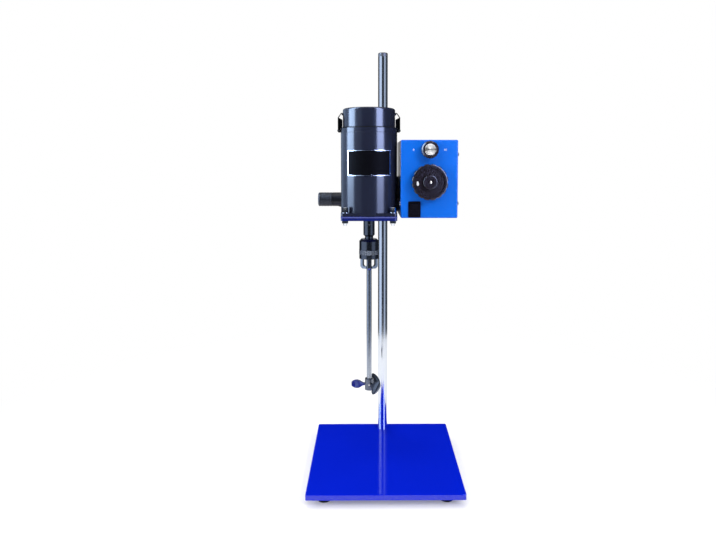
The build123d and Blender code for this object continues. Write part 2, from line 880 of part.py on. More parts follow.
fan_bottom = plate_top + fan_rise
with BuildPart() as cooling_fan:
    with BuildSketch(motor_level(fan_bottom)):
        Circle(fan_d / 2)
    extrude(amount=fan_disc)
    with BuildSketch(motor_level(fan_bottom)):
        with PolarLocations(fan_d / 3, fan_blades):
            Rectangle(fan_d / 3 - cut_past, fan_disc)
        Circle(shaft_r + fan_hub_wall)
    extrude(amount=fan_disc + fan_blade_height)
    with BuildSketch(motor_level(fan_bottom)):
        Circle(shaft_r + running_gap)
    extrude(amount=fan_disc + fan_blade_height, mode=Mode.SUBTRACT)
write_piece(cooling_fan, "cooling_fan")

# Ball bearings, with the groove between their rings
upper_bearing_top = shield_top - upper_bearing_drop
bearing_places = (
    (bearing_bottom, lower_bearing_d, lower_bearing_width),
    (upper_bearing_top - upper_bearing_width, upper_bearing_d, upper_bearing_width),
)
with BuildPart() as ball_bearings:
    for place, outer_d, width in bearing_places:
        with BuildSketch(motor_level(place)):
            Circle(outer_d / 2)
            Circle(shaft_r + running_gap, mode=Mode.SUBTRACT)
        extrude(amount=width)
        with BuildSketch(motor_level(place + width - bearing_groove)):
            Circle(outer_d / 2 - bearing_ring)
            Circle(shaft_r + bearing_ring, mode=Mode.SUBTRACT)
        extrude(amount=bearing_groove, mode=Mode.SUBTRACT)
write_piece(ball_bearings, "ball_bearings")

# Upper end shield: closes the housing, holds the upper bearing and the brush holders, and carries the cap
cap_r = cap_d / 2
shield_hub_r = upper_bearing_d / 2 + shield_hub_wall
with BuildPart() as upper_end_shield:
    with BuildSketch(motor_level(housing_top)):
        Circle(housing_r)
    extrude(amount=shield_thick)
    with BuildSketch(motor_level(housing_top - shield_spigot)):
        Circle(housing_bore_r - running_gap)
        Circle(housing_bore_r - shield_spigot_wall, mode=Mode.SUBTRACT)
    extrude(amount=shield_spigot)
    with BuildSketch(motor_level(shield_top)):
        Circle(cap_r - cap_wall - running_gap)
        Circle(cap_r - cap_wall - shield_rim_wall, mode=Mode.SUBTRACT)
    extrude(amount=shield_rim)
    with BuildSketch(motor_level(housing_top)):
        with PolarLocations(shield_window_r, 4, 45):
            Rectangle(shield_window_length, shield_window_width)
    extrude(amount=shield_thick, mode=Mode.SUBTRACT)
    with BuildSketch(motor_level(upper_bearing_top - shield_hub_drop)):
        Circle(shield_hub_r)
    extrude(amount=shield_hub_drop)
    with BuildSketch(motor_level(upper_bearing_top - shield_hub_drop)):
        Circle(upper_bearing_d / 2 + running_gap)
    extrude(amount=shield_hub_drop, mode=Mode.SUBTRACT)
    with BuildSketch(motor_level(upper_bearing_top)):
        Circle(shaft_r + shaft_hole_gap)
    extrude(amount=shield_top, mode=Mode.SUBTRACT)
write_piece(upper_end_shield, "upper_end_shield")

# Brush gear: two holders hung from the end shield, each with a carbon brush on the commutator
brush_z = commutator_bottom + commutator_height / 2 - brush_below_middle
holder_side = brush_side + 2 * brush_holder_wall
holder_middle = commutator_r + brush_holder_gap + brush_holder_length / 2
hanger_height = housing_top - brush_z
with BuildPart() as brush_holders:
    for side in (-1, 1):
        with Locations((motor_x, motor_y + side * holder_middle, brush_z)):
            Box(holder_side, brush_holder_length, holder_side)
        with Locations((motor_x, motor_y + side * (holder_middle + hanger_out), brush_z + hanger_height / 2)):
            Box(holder_side, hanger_thick, hanger_height)
    with Locations((motor_x, motor_y, brush_z)):
        Box(brush_side + 2 * running_gap, 2 * housing_d, brush_side + 2 * running_gap, mode=Mode.SUBTRACT)
write_piece(brush_holders, "brush_holders")

with BuildPart() as carbon_brushes:
    with Locations((motor_x, motor_y, brush_z)):
        Box(brush_side, 2 * (commutator_r + brush_length), brush_side)
    with BuildSketch(motor_level(brush_z - brush_side)):
        Circle(commutator_r + brush_gap)
    extrude(amount=2 * brush_side, mode=Mode.SUBTRACT)
write_piece(carbon_brushes, "carbon_brushes")

# Motor cap: a deep-drawn cover with radial air slots in its top and a catch for each clip
catch_z = shield_top + clip_hook_rise - catch_height - shake_gap
with BuildPart() as motor_cap:
    with BuildSketch(motor_level(shield_top)):
        Circle(cap_r)
    extrude(amount=cap_height)
    with Locations((motor_x, motor_y, catch_z + catch_height / 2)):
        Box(2 * (cap_r + catch_reach), catch_width, catch_height)
    fillet(motor_cap.faces().sort_by(Axis.Z)[-1].edges(), cap_round)
    with BuildSketch(motor_level(shield_top)):
        Circle(cap_r - cap_wall)
    extrude(amount=cap_height - cap_wall, mode=Mode.SUBTRACT)
    with BuildSketch(motor_level(shield_top + cap_height - cap_wall)):
        with PolarLocations((vent_inner + vent_outer) / 2, vent_count):
            SlotOverall(vent_outer - vent_inner, vent_width)
    extrude(amount=cap_wall, mode=Mode.SUBTRACT)
write_piece(motor_cap, "motor_cap")

# Spring clips: a bracket on the end shield's rim, a pin, and a pressed lever that hooks over the cap's catch
clip_pin_x = housing_r + clip_pin_out
clip_pin_z = shield_top - clip_pin_drop
ear_inner_y = clip_width / 2 - clip_sheet - ear_gap
ear_r = clip_pin_d / 2 + ear_wall
clip_eye_r = clip_pin_d / 2 + clip_eye_wall
lever_web_x = clip_pin_x + clip_web_out
lever_inner_x = housing_r + clip_flange_in
lever_top_z = shield_top + clip_top_rise
hook_z = shield_top + clip_hook_rise
hook_root_x = cap_r + catch_reach + hook_catch_gap


def to_clip_side(side, points):
    """Points of one clip's outline, given as distance out from the motor's axis and height."""
    return [(side * out, z) for out, z in points]


with BuildPart() as clip_brackets:
    for side in (-1, 1):
        with Locations((motor_x + side * housing_r, motor_y, clip_pin_z)):
            Box(2 * clip_sheet, 2 * ear_inner_y, 2 * ear_r)
        for ear_side in (-1, 1):
            ear_y = motor_y + ear_side * (ear_inner_y - clip_sheet / 2)
            with Locations((motor_x + side * (housing_r + clip_pin_out / 2), ear_y, clip_pin_z)):
                Box(clip_pin_out, clip_sheet, 2 * ear_r)
            with BuildSketch(facing_front(motor_x, ear_y + clip_sheet / 2, 0)):
                with Locations((side * clip_pin_x, clip_pin_z)):
                    Circle(ear_r)
            extrude(amount=clip_sheet)
    with BuildSketch(motor_level(clip_pin_z - 2 * ear_r)):
        Circle(housing_r)
    extrude(amount=4 * ear_r, mode=Mode.SUBTRACT)
    with BuildSketch(facing_front(motor_x, motor_y + clip_width, 0)):
        with Locations((-clip_pin_x, clip_pin_z), (clip_pin_x, clip_pin_z)):
            Circle(clip_pin_d / 2)
    extrude(amount=2 * clip_width, mode=Mode.SUBTRACT)
write_piece(clip_brackets, "clip_brackets")

with BuildPart() as clip_pins:
    with BuildSketch(facing_front(motor_x, motor_y + clip_width / 2 + clip_pin_end, 0)):
        with Locations((-clip_pin_x, clip_pin_z), (clip_pin_x, clip_pin_z)):
            Circle(clip_pin_d / 2)
    extrude(amount=clip_width + 2 * clip_pin_end)
write_piece(clip_pins, "clip_pins")

for side, clip_name in ((-1, "clip_left"), (1, "clip_right")):
    with BuildPart() as clip:
        with BuildSketch(facing_front(motor_x, motor_y + clip_width / 2, 0)):
            with BuildLine():
                Polyline(
                    *to_clip_side(
                        side,
                        [
                            (lever_inner_x, clip_pin_z),
                            (lever_inner_x, lever_top_z - clip_shoulder),
                            (lever_web_x, lever_top_z),
                            (lever_web_x + clip_sheet, lever_top_z),
                            (lever_web_x + clip_sheet, clip_pin_z + ear_r),
                            (clip_pin_x + clip_eye_r, clip_pin_z),
                        ],
                    ),
                    close=True,
                )
            make_face()
            with Locations((side * clip_pin_x, clip_pin_z)):
                Circle(clip_eye_r)
        extrude(amount=clip_width)
        with Locations((motor_x + side * (lever_web_x - clip_width / 2), motor_y, 0)):
            Box(clip_width, 2 * ear_inner_y + 2 * ear_gap, 4 * lever_top_z, mode=Mode.SUBTRACT)
        with Locations((motor_x + side * (lever_web_x + clip_sheet), motor_y, clip_pin_z)):
            Box(4 * clip_sheet, 2 * ear_inner_y + 2 * ear_gap, 2 * (ear_r + tip_gap), mode=Mode.SUBTRACT)
        with BuildSketch(facing_front(motor_x, motor_y + clip_hook_width / 2, 0)):
            with BuildLine():
                Polyline(
                    *to_clip_side(
                        side,
                        [
                            (lever_web_x, lever_top_z - clip_shoulder),
                            (lever_web_x + clip_sheet, lever_top_z - clip_shoulder),
                            (lever_web_x + clip_sheet, lever_top_z),
                            (hook_root_x + clip_sheet / 2, hook_z + clip_sheet),
                            (cap_r + hook_cap_gap, hook_z + clip_sheet),
                            (cap_r + hook_cap_gap, hook_z),
                            (hook_root_x, hook_z),
                            (lever_web_x, lever_top_z - clip_arm_drop),
                        ],
                    ),
                    close=True,
                )
            make_face()
        extrude(amount=clip_hook_width)
        with BuildSketch(facing_front(motor_x, motor_y + clip_width, 0)):
            with Locations((side * clip_pin_x, clip_pin_z)):
                Circle(clip_pin_d / 2 + running_gap)
        extrude(amount=2 * clip_width, mode=Mode.SUBTRACT)
    write_piece(clip, clip_name)

# Nameplate: a thin curved plate on the front of the housing, left bare
nameplate_mid_z = plate_top + nameplate_rise + nameplate_height / 2
nameplate_start = radians(-90 - nameplate_width_angle / 2)
with BuildPart() as nameplate:
    with BuildSketch(radial_section(nameplate_start)):
        with Locations((housing_r + running_gap + nameplate_thick / 2, nameplate_mid_z)):
            Rectangle(nameplate_thick, nameplate_height)
    revolve(axis=motor_axis, revolution_arc=nameplate_width_angle)
write_piece(nameplate, "nameplate")

# Wire bushing between the motor and the control box
bushing_z = plate_top + bushing_rise
bushing_in_x = motor_x + housing_bore_r - bushing_lip
bushing_out_x = box_left + box_sheet + bushing_lip
with BuildPart() as wire_bushing:
    with BuildSketch(facing_left(bushing_out_x, motor_y, bushing_z)):
        Circle(bushing_d / 2)
    extrude(amount=bushing_out_x - bushing_in_x)
    with BuildSketch(facing_left(box_left - running_gap, motor_y, bushing_z)):
        Circle(bushing_collar_d / 2)
    extrude(amount=box_gap - 2 * running_gap)
    with BuildSketch(facing_left(bushing_out_x, motor_y, bushing_z)):
        Circle(bushing_bore_d / 2)
    extrude(amount=bushing_out_x - bushing_in_x, mode=Mode.SUBTRACT)
write_piece(wire_bushing, "wire_bushing")

# Arbor: joins the motor shaft to the chuck, with two set screws
arbor_top_z = plate_bottom + arbor_in_plate
arbor_shoulder = arbor_top_z - arbor_length
arbor_r = arbor_d / 2
neck_r = arbor_neck_d / 2
neck_bottom = chuck_top - chuck_socket
arbor_screw_z = (arbor_top_z + shaft_bottom) / 2 - arbor_screw_drop
with BuildPart() as chuck_arbor:
    with BuildSketch(motor_section):
        with BuildLine():
            Polyline(
                (0, arbor_top_z),
                (arbor_r, arbor_top_z),
                (arbor_r, arbor_shoulder + arbor_chamfer),
                (neck_r, arbor_shoulder),
                (neck_r, neck_bottom),
                (0, neck_bottom),
                close=True,
            )
        make_face()
    revolve(axis=motor_axis)
    with BuildSketch(motor_level(shaft_bottom - running_gap)):
        Circle(shaft_r + running_gap)
    extrude(amount=arbor_length, mode=Mode.SUBTRACT)
    with BuildSketch(facing_front(motor_x, motor_y, arbor_screw_z)):
        Circle(set_screw_d / 2 + running_gap)
    extrude(amount=arbor_r + cut_past, mode=Mode.SUBTRACT)
write_piece(chuck_arbor, "chuck_arbor")

# Chuck: body with hub, scroll ring on the hub, slotted face, and three claw jaws that the scroll moves
chuck_r = chuck_d / 2
chuck_hub_r = chuck_hub_d / 2
stirring_r = stirring_shaft_d / 2
with BuildPart() as chuck_body:
    with BuildSketch(motor_section):
        with BuildLine():
            Polyline(
                (0, chuck_top),
                (chuck_cone_top_d / 2, chuck_top),
                (chuck_r, chuck_top - chuck_cone),
                (chuck_r, chuck_shoulder),
                (chuck_hub_r, chuck_shoulder),
                (chuck_hub_r, chuck_face_top),
                (0, chuck_face_top),
                close=True,
            )
        make_face()
    revolve(axis=motor_axis)
    with BuildSketch(motor_level(neck_bottom - running_gap)):
        Circle(neck_r + running_gap)
    extrude(amount=chuck_body_height, mode=Mode.SUBTRACT)
    with BuildSketch(motor_level(chuck_face_top)):
        Circle(stirring_r + running_gap)
    extrude(amount=stirring_top - chuck_face_top + running_gap, mode=Mode.SUBTRACT)
write_piece(chuck_body, "chuck_body")

with BuildPart() as chuck_ring:
    with BuildSketch(motor_level(chuck_face_top + seat_gap)):
        Circle(chuck_r + chuck_ring_proud)
        Circle(chuck_hub_r + running_gap, mode=Mode.SUBTRACT)
        with PolarLocations(chuck_r, chuck_ring_teeth):
            Rectangle(2 * chuck_ring_groove_deep, chuck_ring_groove_wide, mode=Mode.SUBTRACT)
    extrude(amount=chuck_ring_height - 2 * seat_gap)
write_piece(chuck_ring, "chuck_ring")

slot_inner = jaw_head_inner - jaw_edge_gap
slot_middle = (slot_inner + chuck_r + cut_past) / 2
slot_length = chuck_r + cut_past - slot_inner
jaw_neck_top = chuck_bottom + jaw_neck_height
with BuildPart() as chuck_face:
    with BuildSketch(motor_level(chuck_bottom)):
        Circle(chuck_r)
        Circle(stirring_r + running_gap, mode=Mode.SUBTRACT)
    extrude(amount=chuck_face_height)
    with BuildSketch(motor_level(chuck_bottom)):
        with PolarLocations(slot_middle, jaw_count, start_angle=-90):
            Rectangle(slot_length, jaw_neck_width + 2 * running_gap)
    extrude(amount=chuck_face_height, mode=Mode.SUBTRACT)
    with BuildSketch(motor_level(jaw_neck_top)):
        with PolarLocations(slot_middle, jaw_count, start_angle=-90):
            Rectangle(slot_length, jaw_head_width + 2 * running_gap)
    extrude(amount=chuck_face_height, mode=Mode.SUBTRACT)
write_piece(chuck_face, "chuck_face")

jaw_head_outer = chuck_r - jaw_travel - jaw_edge_gap
jaw_head_top = chuck_face_top - seat_gap
jaw_head_bottom = jaw_neck_top + running_gap
jaw_inner = jaw_outer - jaw_finger
for number in range(jaw_count):
    jaw_angle = radians(-90 + 360 / jaw_count * number)
    with BuildPart() as chuck_jaw:
        with BuildSketch(radial_section(jaw_angle)):
            with Locations(((jaw_head_inner + jaw_head_outer) / 2, (jaw_head_bottom + jaw_head_top) / 2)):
                Rectangle(jaw_head_outer - jaw_head_inner, jaw_head_top - jaw_head_bottom)
        extrude(amount=jaw_head_width / 2, both=True)
        with BuildSketch(radial_section(jaw_angle)):
            with BuildLine():
                Polyline(
                    (jaw_head_inner, jaw_head_bottom + cut_past),
                    (jaw_head_inner, chuck_bottom - running_gap),
                    (jaw_inner, chuck_bottom - running_gap),
                    (jaw_inner, jaw_bottom + jaw_hook + jaw_finger_round),
                    (jaw_inner - jaw_finger_round, jaw_bottom + jaw_hook),
                    (stirring_r, jaw_bottom + jaw_hook),
                    (stirring_r, jaw_bottom),
                    (jaw_outer - jaw_corner, jaw_bottom),
                    (jaw_outer, jaw_bottom + jaw_corner),
                    (jaw_outer, chuck_bottom - running_gap),
                    (jaw_head_outer, chuck_bottom - running_gap),
                    (jaw_head_outer, jaw_head_bottom + cut_past),
                    close=True,
                )
            make_face()
        extrude(amount=jaw_neck_width / 2, both=True)
        with BuildSketch(motor_level(jaw_bottom)):
            Circle(stirring_r + running_gap)
        extrude(amount=jaw_drop, mode=Mode.SUBTRACT)
    write_piece(chuck_jaw, f"chuck_jaw_{number + 1}")

# Stirring shaft and the three-bladed propeller on its end
with BuildPart() as stirring_shaft:
    with BuildSketch(motor_level(stirring_bottom)):
        Circle(stirring_r)
    extrude(amount=stirring_shaft_length)
write_piece(stirring_shaft, "stirring_shaft")

# Each blade section: distance out, chord, and angle up from the horizontal
blade_sections = (
    (blade_root_r, blade_root_chord, 70.0),
    (blade_neck_r, blade_neck_chord, 64.0),
    (blade_wide_r, blade_chord, 58.0),
    (blade_outer_r, blade_outer_chord, 54.0),
    (propeller_r, blade_tip_chord, 50.0),
)
hub_middle = hub_bottom + hub_height / 2
with BuildPart() as propeller:
    with BuildSketch(motor_level(hub_bottom)):
        Circle(hub_d / 2)
    extrude(amount=hub_height)
    for number in range(blade_count):
        blade_angle = pi + 2 * pi / blade_count * number
        radial = Vector(cos(blade_angle), sin(blade_angle), 0)
        tangent = Vector(-sin(blade_angle), cos(blade_angle), 0)
        for reach, chord, pitch in blade_sections:
            place = Vector(motor_x, motor_y, hub_middle) + radial * reach
            along = tangent * cos(radians(pitch)) + Vector(0, 0, sin(radians(pitch)))
            with BuildSketch(Plane(place, x_dir=along, z_dir=radial)):
                Ellipse(chord / 2, blade_thick / 2)
        loft()
    with BuildSketch(motor_level(hub_bottom - cut_past)):
        Circle(stirring_r + running_gap)
    extrude(amount=hub_height + 2 * cut_past, mode=Mode.SUBTRACT)
    with BuildSketch(facing_front(motor_x, motor_y, hub_middle)):
        Circle(set_screw_d / 2 + running_gap)
    extrude(amount=hub_d, mode=Mode.SUBTRACT)
write_piece(propeller, "propeller")

with BuildPart() as set_screws:
    with BuildSketch(facing_front(motor_x, motor_y - shaft_r, arbor_screw_z)):
        Circle(set_screw_d / 2)
    extrude(amount=arbor_r - shaft_r - set_screw_sunk)
    with BuildSketch(facing_front(motor_x, motor_y - stirring_r, hub_middle)):
        Circle(set_screw_d / 2)
    extrude(amount=hub_d / 2 - stirring_r - set_screw_sunk)
    with BuildSketch(motor_level(hub_bottom)):
        Circle(stirring_r + running_gap)
    extrude(amount=hub_height, mode=Mode.SUBTRACT)
    with BuildSketch(motor_level(shaft_bottom)):
        Circle(shaft_r + running_gap)
    extrude(amount=arbor_length, mode=Mode.SUBTRACT)
write_piece(set_screws, "set_screws")

# Control box: deep case with a forward lip, and the folded front panel that fits over the lip
box_mid_z = (box_bottom + box_top) / 2
lip_width = box_width - 2 * box_sheet - 2 * seat_gap
lip_height = box_height - 2 * box_sheet - 2 * seat_gap
gland_x = box_right - gland_rise
gland_z = box_bottom + gland_rise
gland_end_y = box_back + gland_length - gland_inside
with BuildPart() as controller_case:
    with BuildSketch(facing_front(box_mid, box_back, box_mid_z)):
        RectangleRounded(box_width, box_height, panel_bend)
    extrude(amount=box_back - case_front)
    with BuildSketch(facing_front(box_mid, case_front, box_mid_z)):
        Rectangle(lip_width, lip_height)
    extrude(amount=case_lip)
    with BuildSketch(facing_front(box_mid, box_back - box_sheet, box_mid_z)):
        Rectangle(box_width - 2 * box_sheet, box_height - 2 * box_sheet)
    extrude(amount=box_back - case_front - 2 * box_sheet, mode=Mode.SUBTRACT)
    with BuildSketch(facing_front(box_mid, case_front + 2 * box_sheet, box_mid_z)):
        Rectangle(lip_width - 2 * box_sheet, lip_height - 2 * box_sheet)
    extrude(amount=box_depth, mode=Mode.SUBTRACT)
    with BuildSketch(facing_front(box_mid, box_back, box_mid_z + vent_rise)):
        with GridLocations(0, vent_pitch, 1, vent_rows):
            SlotOverall(vent_length, vent_width)
    extrude(amount=box_sheet, mode=Mode.SUBTRACT)
    with BuildSketch(facing_front(gland_x, box_back, gland_z)):
        Circle(gland_d / 2 + running_gap)
    extrude(amount=box_sheet, mode=Mode.SUBTRACT)
    with BuildSketch(facing_left(box_left + box_sheet, motor_y, bushing_z)):
        Circle(bushing_d / 2 + running_gap)
    extrude(amount=box_sheet, mode=Mode.SUBTRACT)
    with BuildSketch(facing_left(box_left + box_sheet, box_screw_y, plate_top + box_screw_rise)):
        with GridLocations(0, box_screw_pitch, 1, 2):
            Circle(case_screw_d / 2 + running_gap)
    extrude(amount=box_sheet, mode=Mode.SUBTRACT)
    with BuildSketch(facing_left(box_right, box_front + case_screw_back, box_mid_z)):
        with GridLocations(0, case_screw_pitch, 1, 2):
            Circle(case_screw_d / 2 + running_gap)
    extrude(amount=box_width, mode=Mode.SUBTRACT)
write_piece(controller_case, "controller_case")

with BuildPart() as controller_panel:
    with BuildSketch(facing_front(box_mid, case_front - seat_gap, box_mid_z)):
        RectangleRounded(box_width, box_height, panel_bend)
    extrude(amount=panel_flange - seat_gap)
    fillet(controller_panel.faces().sort_by(Axis.Y)[0].edges(), panel_bend - seat_gap)
    with BuildSketch(facing_front(box_mid, case_front, box_mid_z)):
        Rectangle(box_width - 2 * box_sheet, box_height - 2 * box_sheet)
    extrude(amount=panel_flange - box_sheet, mode=Mode.SUBTRACT)
    with BuildSketch(facing_front(0, panel_back, 0)):
        with Locations((box_mid, speed_z)):
            Circle(variac_shaft_d / 2 + shaft_hole_gap)
        with Locations((box_mid, timer_z)):
            Circle(timer_shaft_d / 2 + shaft_hole_gap)
        with Locations((switch_x, switch_z)):
            Rectangle(switch_body_width + 2 * seat_gap, switch_body_height + 2 * seat_gap)
    extrude(amount=box_sheet, mode=Mode.SUBTRACT)
    with BuildSketch(facing_left(box_right, box_front + case_screw_back, box_mid_z)):
        with GridLocations(0, case_screw_pitch, 1, 2):
            Circle(case_screw_d / 2 + running_gap)
    extrude(amount=box_width, mode=Mode.SUBTRACT)
write_piece(controller_panel, "controller_panel")

# Screws of the control box: two on each side hold the panel, two inside hold the case to the casting
with BuildPart() as case_screws:
    for side, wall_x in ((-1, box_left), (1, box_right)):
        with BuildSketch(facing_left(wall_x, box_front + case_screw_back, box_mid_z)):
            with GridLocations(0, case_screw_pitch, 1, 2):
                Circle(case_screw_head_d / 2)
        extrude(amount=-side * case_screw_head)
        with BuildSketch(facing_left(wall_x, box_front + case_screw_back, box_mid_z)):
            with GridLocations(0, case_screw_pitch, 1, 2):
                Circle(case_screw_d / 2)
        extrude(amount=side * case_screw_shank)
    with BuildSketch(facing_left(box_left + box_sheet, box_screw_y, plate_top + box_screw_rise)):
        with GridLocations(0, box_screw_pitch, 1, 2):
            Circle(case_screw_head_d / 2)
    extrude(amount=-case_screw_head)
    with BuildSketch(facing_left(box_left + box_sheet, box_screw_y, plate_top + box_screw_rise)):
        with GridLocations(0, box_screw_pitch, 1, 2):
            Circle(case_screw_d / 2)
    extrude(amount=box_sheet + case_screw_shank)
write_piece(case_screws, "case_screws")

with BuildPart() as cable_gland:
    with BuildSketch(facing_front(gland_x, gland_end_y, gland_z)):
        Circle(gland_d / 2)
    extrude(amount=gland_length)
    with BuildSketch(facing_front(gland_x, box_back + gland_hex + running_gap, gland_z)):
        RegularPolygon(gland_flange_d / 2, 6, major_radius=False)
    extrude(amount=gland_hex)
    with BuildSketch(facing_front(gland_x, gland_end_y, gland_z)):
        Circle(gland_bore_d / 2)
    extrude(amount=gland_length, mode=Mode.SUBTRACT)
write_piece(cable_gland, "cable_gland")

# Variable transformer behind the speed knob: a ring core on three posts, and the shaft with the brush arm
variac_front = box_front + variac_start
variac_back = variac_front + variac_depth
variac_shaft_r = variac_shaft_d / 2
variac_shaft_y = variac_back - variac_shaft_end
speed_knob_back = box_front - speed_knob_gap
with BuildPart() as variac_core:
    with BuildSketch(facing_front(box_mid, variac_back, speed_z)):
        Circle(variac_d / 2)
        Circle(variac_hole_d / 2, mode=Mode.SUBTRACT)
    extrude(amount=variac_depth)
    fillet(variac_core.edges().filter_by(GeomType.CIRCLE).group_by(SortBy.RADIUS)[-1], variac_round)
    with BuildSketch(facing_front(box_mid, variac_back - variac_web_in, speed_z)):
        Circle(variac_hole_d / 2 + cut_past)
        Circle(variac_shaft_r + running_gap, mode=Mode.SUBTRACT)
    extrude(amount=variac_web)
    with BuildSketch(facing_front(box_mid, variac_front + variac_post_in, speed_z)):
        with PolarLocations(variac_post_r, 3, start_angle=90):
            Circle(variac_post_d / 2)
    extrude(amount=variac_start + variac_post_in - box_sheet)
write_piece(variac_core, "variac_core")

with BuildPart() as variac_shaft:
    with BuildSketch(facing_front(box_mid, variac_shaft_y, speed_z)):
        Circle(variac_shaft_r)
    extrude(amount=variac_shaft_y - speed_knob_back + speed_socket - tip_gap)
    with BuildSketch(facing_front(box_mid, variac_front - brush_arm_gap, speed_z)):
        Circle(brush_arm_hub_d / 2)
        with Locations((0, brush_arm_reach / 2)):
            Rectangle(brush_arm_width, brush_arm_reach)
    extrude(amount=brush_arm_thick)
    with BuildSketch(facing_front(box_mid, variac_front - shake_gap, speed_z)):
        with Locations((0, brush_arm_reach - brush_tip_end - brush_tip_width / 2)):
            Rectangle(brush_tip_width, brush_tip_width)
    extrude(amount=brush_arm_gap + brush_arm_thick / 2)
write_piece(variac_shaft, "variac_shaft")

# Speed knob: fluted rim, dished front, raised middle boss
speed_knob_r = speed_knob_d / 2
with BuildPart() as speed_knob:
    with BuildSketch(facing_front(box_mid, speed_knob_back, speed_z)):
        Circle(speed_knob_r)
    extrude(amount=speed_knob_rim)
    fillet(speed_knob.faces().sort_by(Axis.Y)[0].edges(), speed_knob_round)
    with BuildSketch(facing_front(box_mid, speed_knob_back, speed_z)):
        with PolarLocations(speed_knob_r - flute_depth + flute_r, speed_knob_flutes):
            Circle(flute_r)
    extrude(amount=speed_knob_rim, mode=Mode.SUBTRACT)
    with BuildSketch(facing_front(box_mid, speed_knob_back - speed_knob_rim, speed_z)):
        Circle(speed_knob_dish_d / 2)
    extrude(amount=-speed_knob_dish, mode=Mode.SUBTRACT)
    with BuildSketch(facing_front(box_mid, speed_knob_back, speed_z)):
        Circle(speed_knob_boss_d / 2)
    extrude(amount=speed_knob_rim + speed_knob_boss)
    fillet(speed_knob.faces().sort_by(Axis.Y)[0].edges(), speed_boss_round)
    with BuildSketch(facing_front(box_mid, speed_knob_back - speed_knob_rim - speed_knob_boss, speed_z)):
        Circle(speed_ring_d / 2)
        Circle(speed_ring_inner_d / 2, mode=Mode.SUBTRACT)
    extrude(amount=-speed_ring_deep, mode=Mode.SUBTRACT)
    with BuildSketch(facing_front(box_mid, speed_knob_back, speed_z)):
        Circle(variac_shaft_r + running_gap)
    extrude(amount=speed_socket, mode=Mode.SUBTRACT)
write_piece(speed_knob, "speed_knob")

# Timer: body behind the panel, knob in front, and the knob's spun metal cap
timer_knob_back = box_front - timer_knob_gap
timer_r = timer_shaft_d / 2
timer_cap_back = timer_knob_back - timer_knob_height + timer_cap_thick / 2
with BuildPart() as timer_body:
    with BuildSketch(facing_front(box_mid, panel_back + timer_body_depth, timer_z)):
        Rectangle(timer_body_side, timer_body_side)
    extrude(amount=timer_body_depth)
    with BuildSketch(facing_front(box_mid, panel_back + timer_shaft_in + shake_gap, timer_z)):
        Circle(timer_r + running_gap)
    extrude(amount=timer_shaft_in + shake_gap, mode=Mode.SUBTRACT)
write_piece(timer_body, "timer_body")

with BuildPart() as timer_knob:
    with BuildSketch(facing_front(box_mid, timer_knob_back, timer_z)):
        Circle(timer_knob_d / 2)
    extrude(amount=timer_knob_height)
    chamfer(timer_knob.faces().sort_by(Axis.Y)[0].edges(), timer_knob_edge)
    with BuildSketch(facing_front(box_mid, timer_knob_back - timer_knob_height, timer_z)):
        Circle(timer_cap_d / 2 + running_gap)
    extrude(amount=-timer_cap_thick / 2, mode=Mode.SUBTRACT)
    with BuildSketch(facing_front(box_mid, panel_back + timer_shaft_in, timer_z)):
        Circle(timer_r)
    extrude(amount=timer_shaft_in + box_sheet + timer_knob_gap + cut_past)
write_piece(timer_knob, "timer_knob")

with BuildPart() as timer_knob_cap:
    with BuildSketch(facing_front(box_mid, timer_cap_back, timer_z)):
        Circle(timer_cap_d / 2)
    extrude(amount=timer_cap_thick)
    chamfer(timer_knob_cap.faces().sort_by(Axis.Y)[0].edges(), timer_cap_edge)
write_piece(timer_knob_cap, "timer_knob_cap")

# Power switch: a body with a bezel, and the rocker on its pin
rocker_pivot_y = box_front + rocker_pivot_in
rocker_sweep_r = rocker_length / 2 + rocker_sweep
with BuildSketch() as rocker_outline:
    with BuildLine():
        Polyline(
            (rocker_proud, rocker_length),
            (rocker_proud - rocker_dish, 0),
            (rocker_proud, -rocker_length),
            (-rocker_back, -rocker_length),
            (-rocker_back, rocker_length),
            close=True,
        )
    make_face()
    Circle(rocker_sweep_r, mode=Mode.INTERSECT)

with BuildPart() as switch_body:
    with BuildSketch(facing_front(switch_x, panel_back + switch_body_depth, switch_z)):
        Rectangle(switch_body_width, switch_body_height)
    extrude(amount=switch_body_depth + box_sheet)
    with BuildSketch(facing_front(switch_x, box_front, switch_z)):
        RectangleRounded(switch_bezel_width, switch_bezel_height, switch_bezel_corner)
    extrude(amount=switch_bezel)
    with BuildSketch(facing_front(switch_x, rocker_pivot_y + rocker_back + rocker_well, switch_z)):
        Rectangle(rocker_width + 2 * seat_gap, 2 * (rocker_sweep_r + seat_gap))
    extrude(amount=switch_body_depth, mode=Mode.SUBTRACT)
    with BuildSketch(facing_left(switch_x + rocker_width, rocker_pivot_y, switch_z)):
        Circle(rocker_pin_d / 2 + running_gap)
    extrude(amount=2 * rocker_width, mode=Mode.SUBTRACT)
write_piece(switch_body, "switch_body")

with BuildPart() as rocker:
    with BuildSketch(facing_left(switch_x + rocker_width / 2, rocker_pivot_y, switch_z)):
        add(rocker_outline.sketch, rotation=-rocker_tilt)
    extrude(amount=rocker_width)
    with BuildSketch(facing_left(switch_x + switch_body_width / 2 - rocker_pin_end, rocker_pivot_y, switch_z)):
        Circle(rocker_pin_d / 2)
    extrude(amount=switch_body_width - 2 * rocker_pin_end)
write_piece(rocker, "rocker")
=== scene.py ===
# %% [markdown]
# # Overhead stirrer
# This lesson dresses the solid model of a laboratory stirrer: a motor over a chuck, held on a chromed
# column above a blue base, with a control box beside it. The solids come in first as a fixed frame, in
# metres, and every piece and finish below is placed by them.

# %% Load the frame
import json
from math import atan2, cos, pi, radians, sin

import bmesh
import bpy
from mathutils import Matrix, Vector


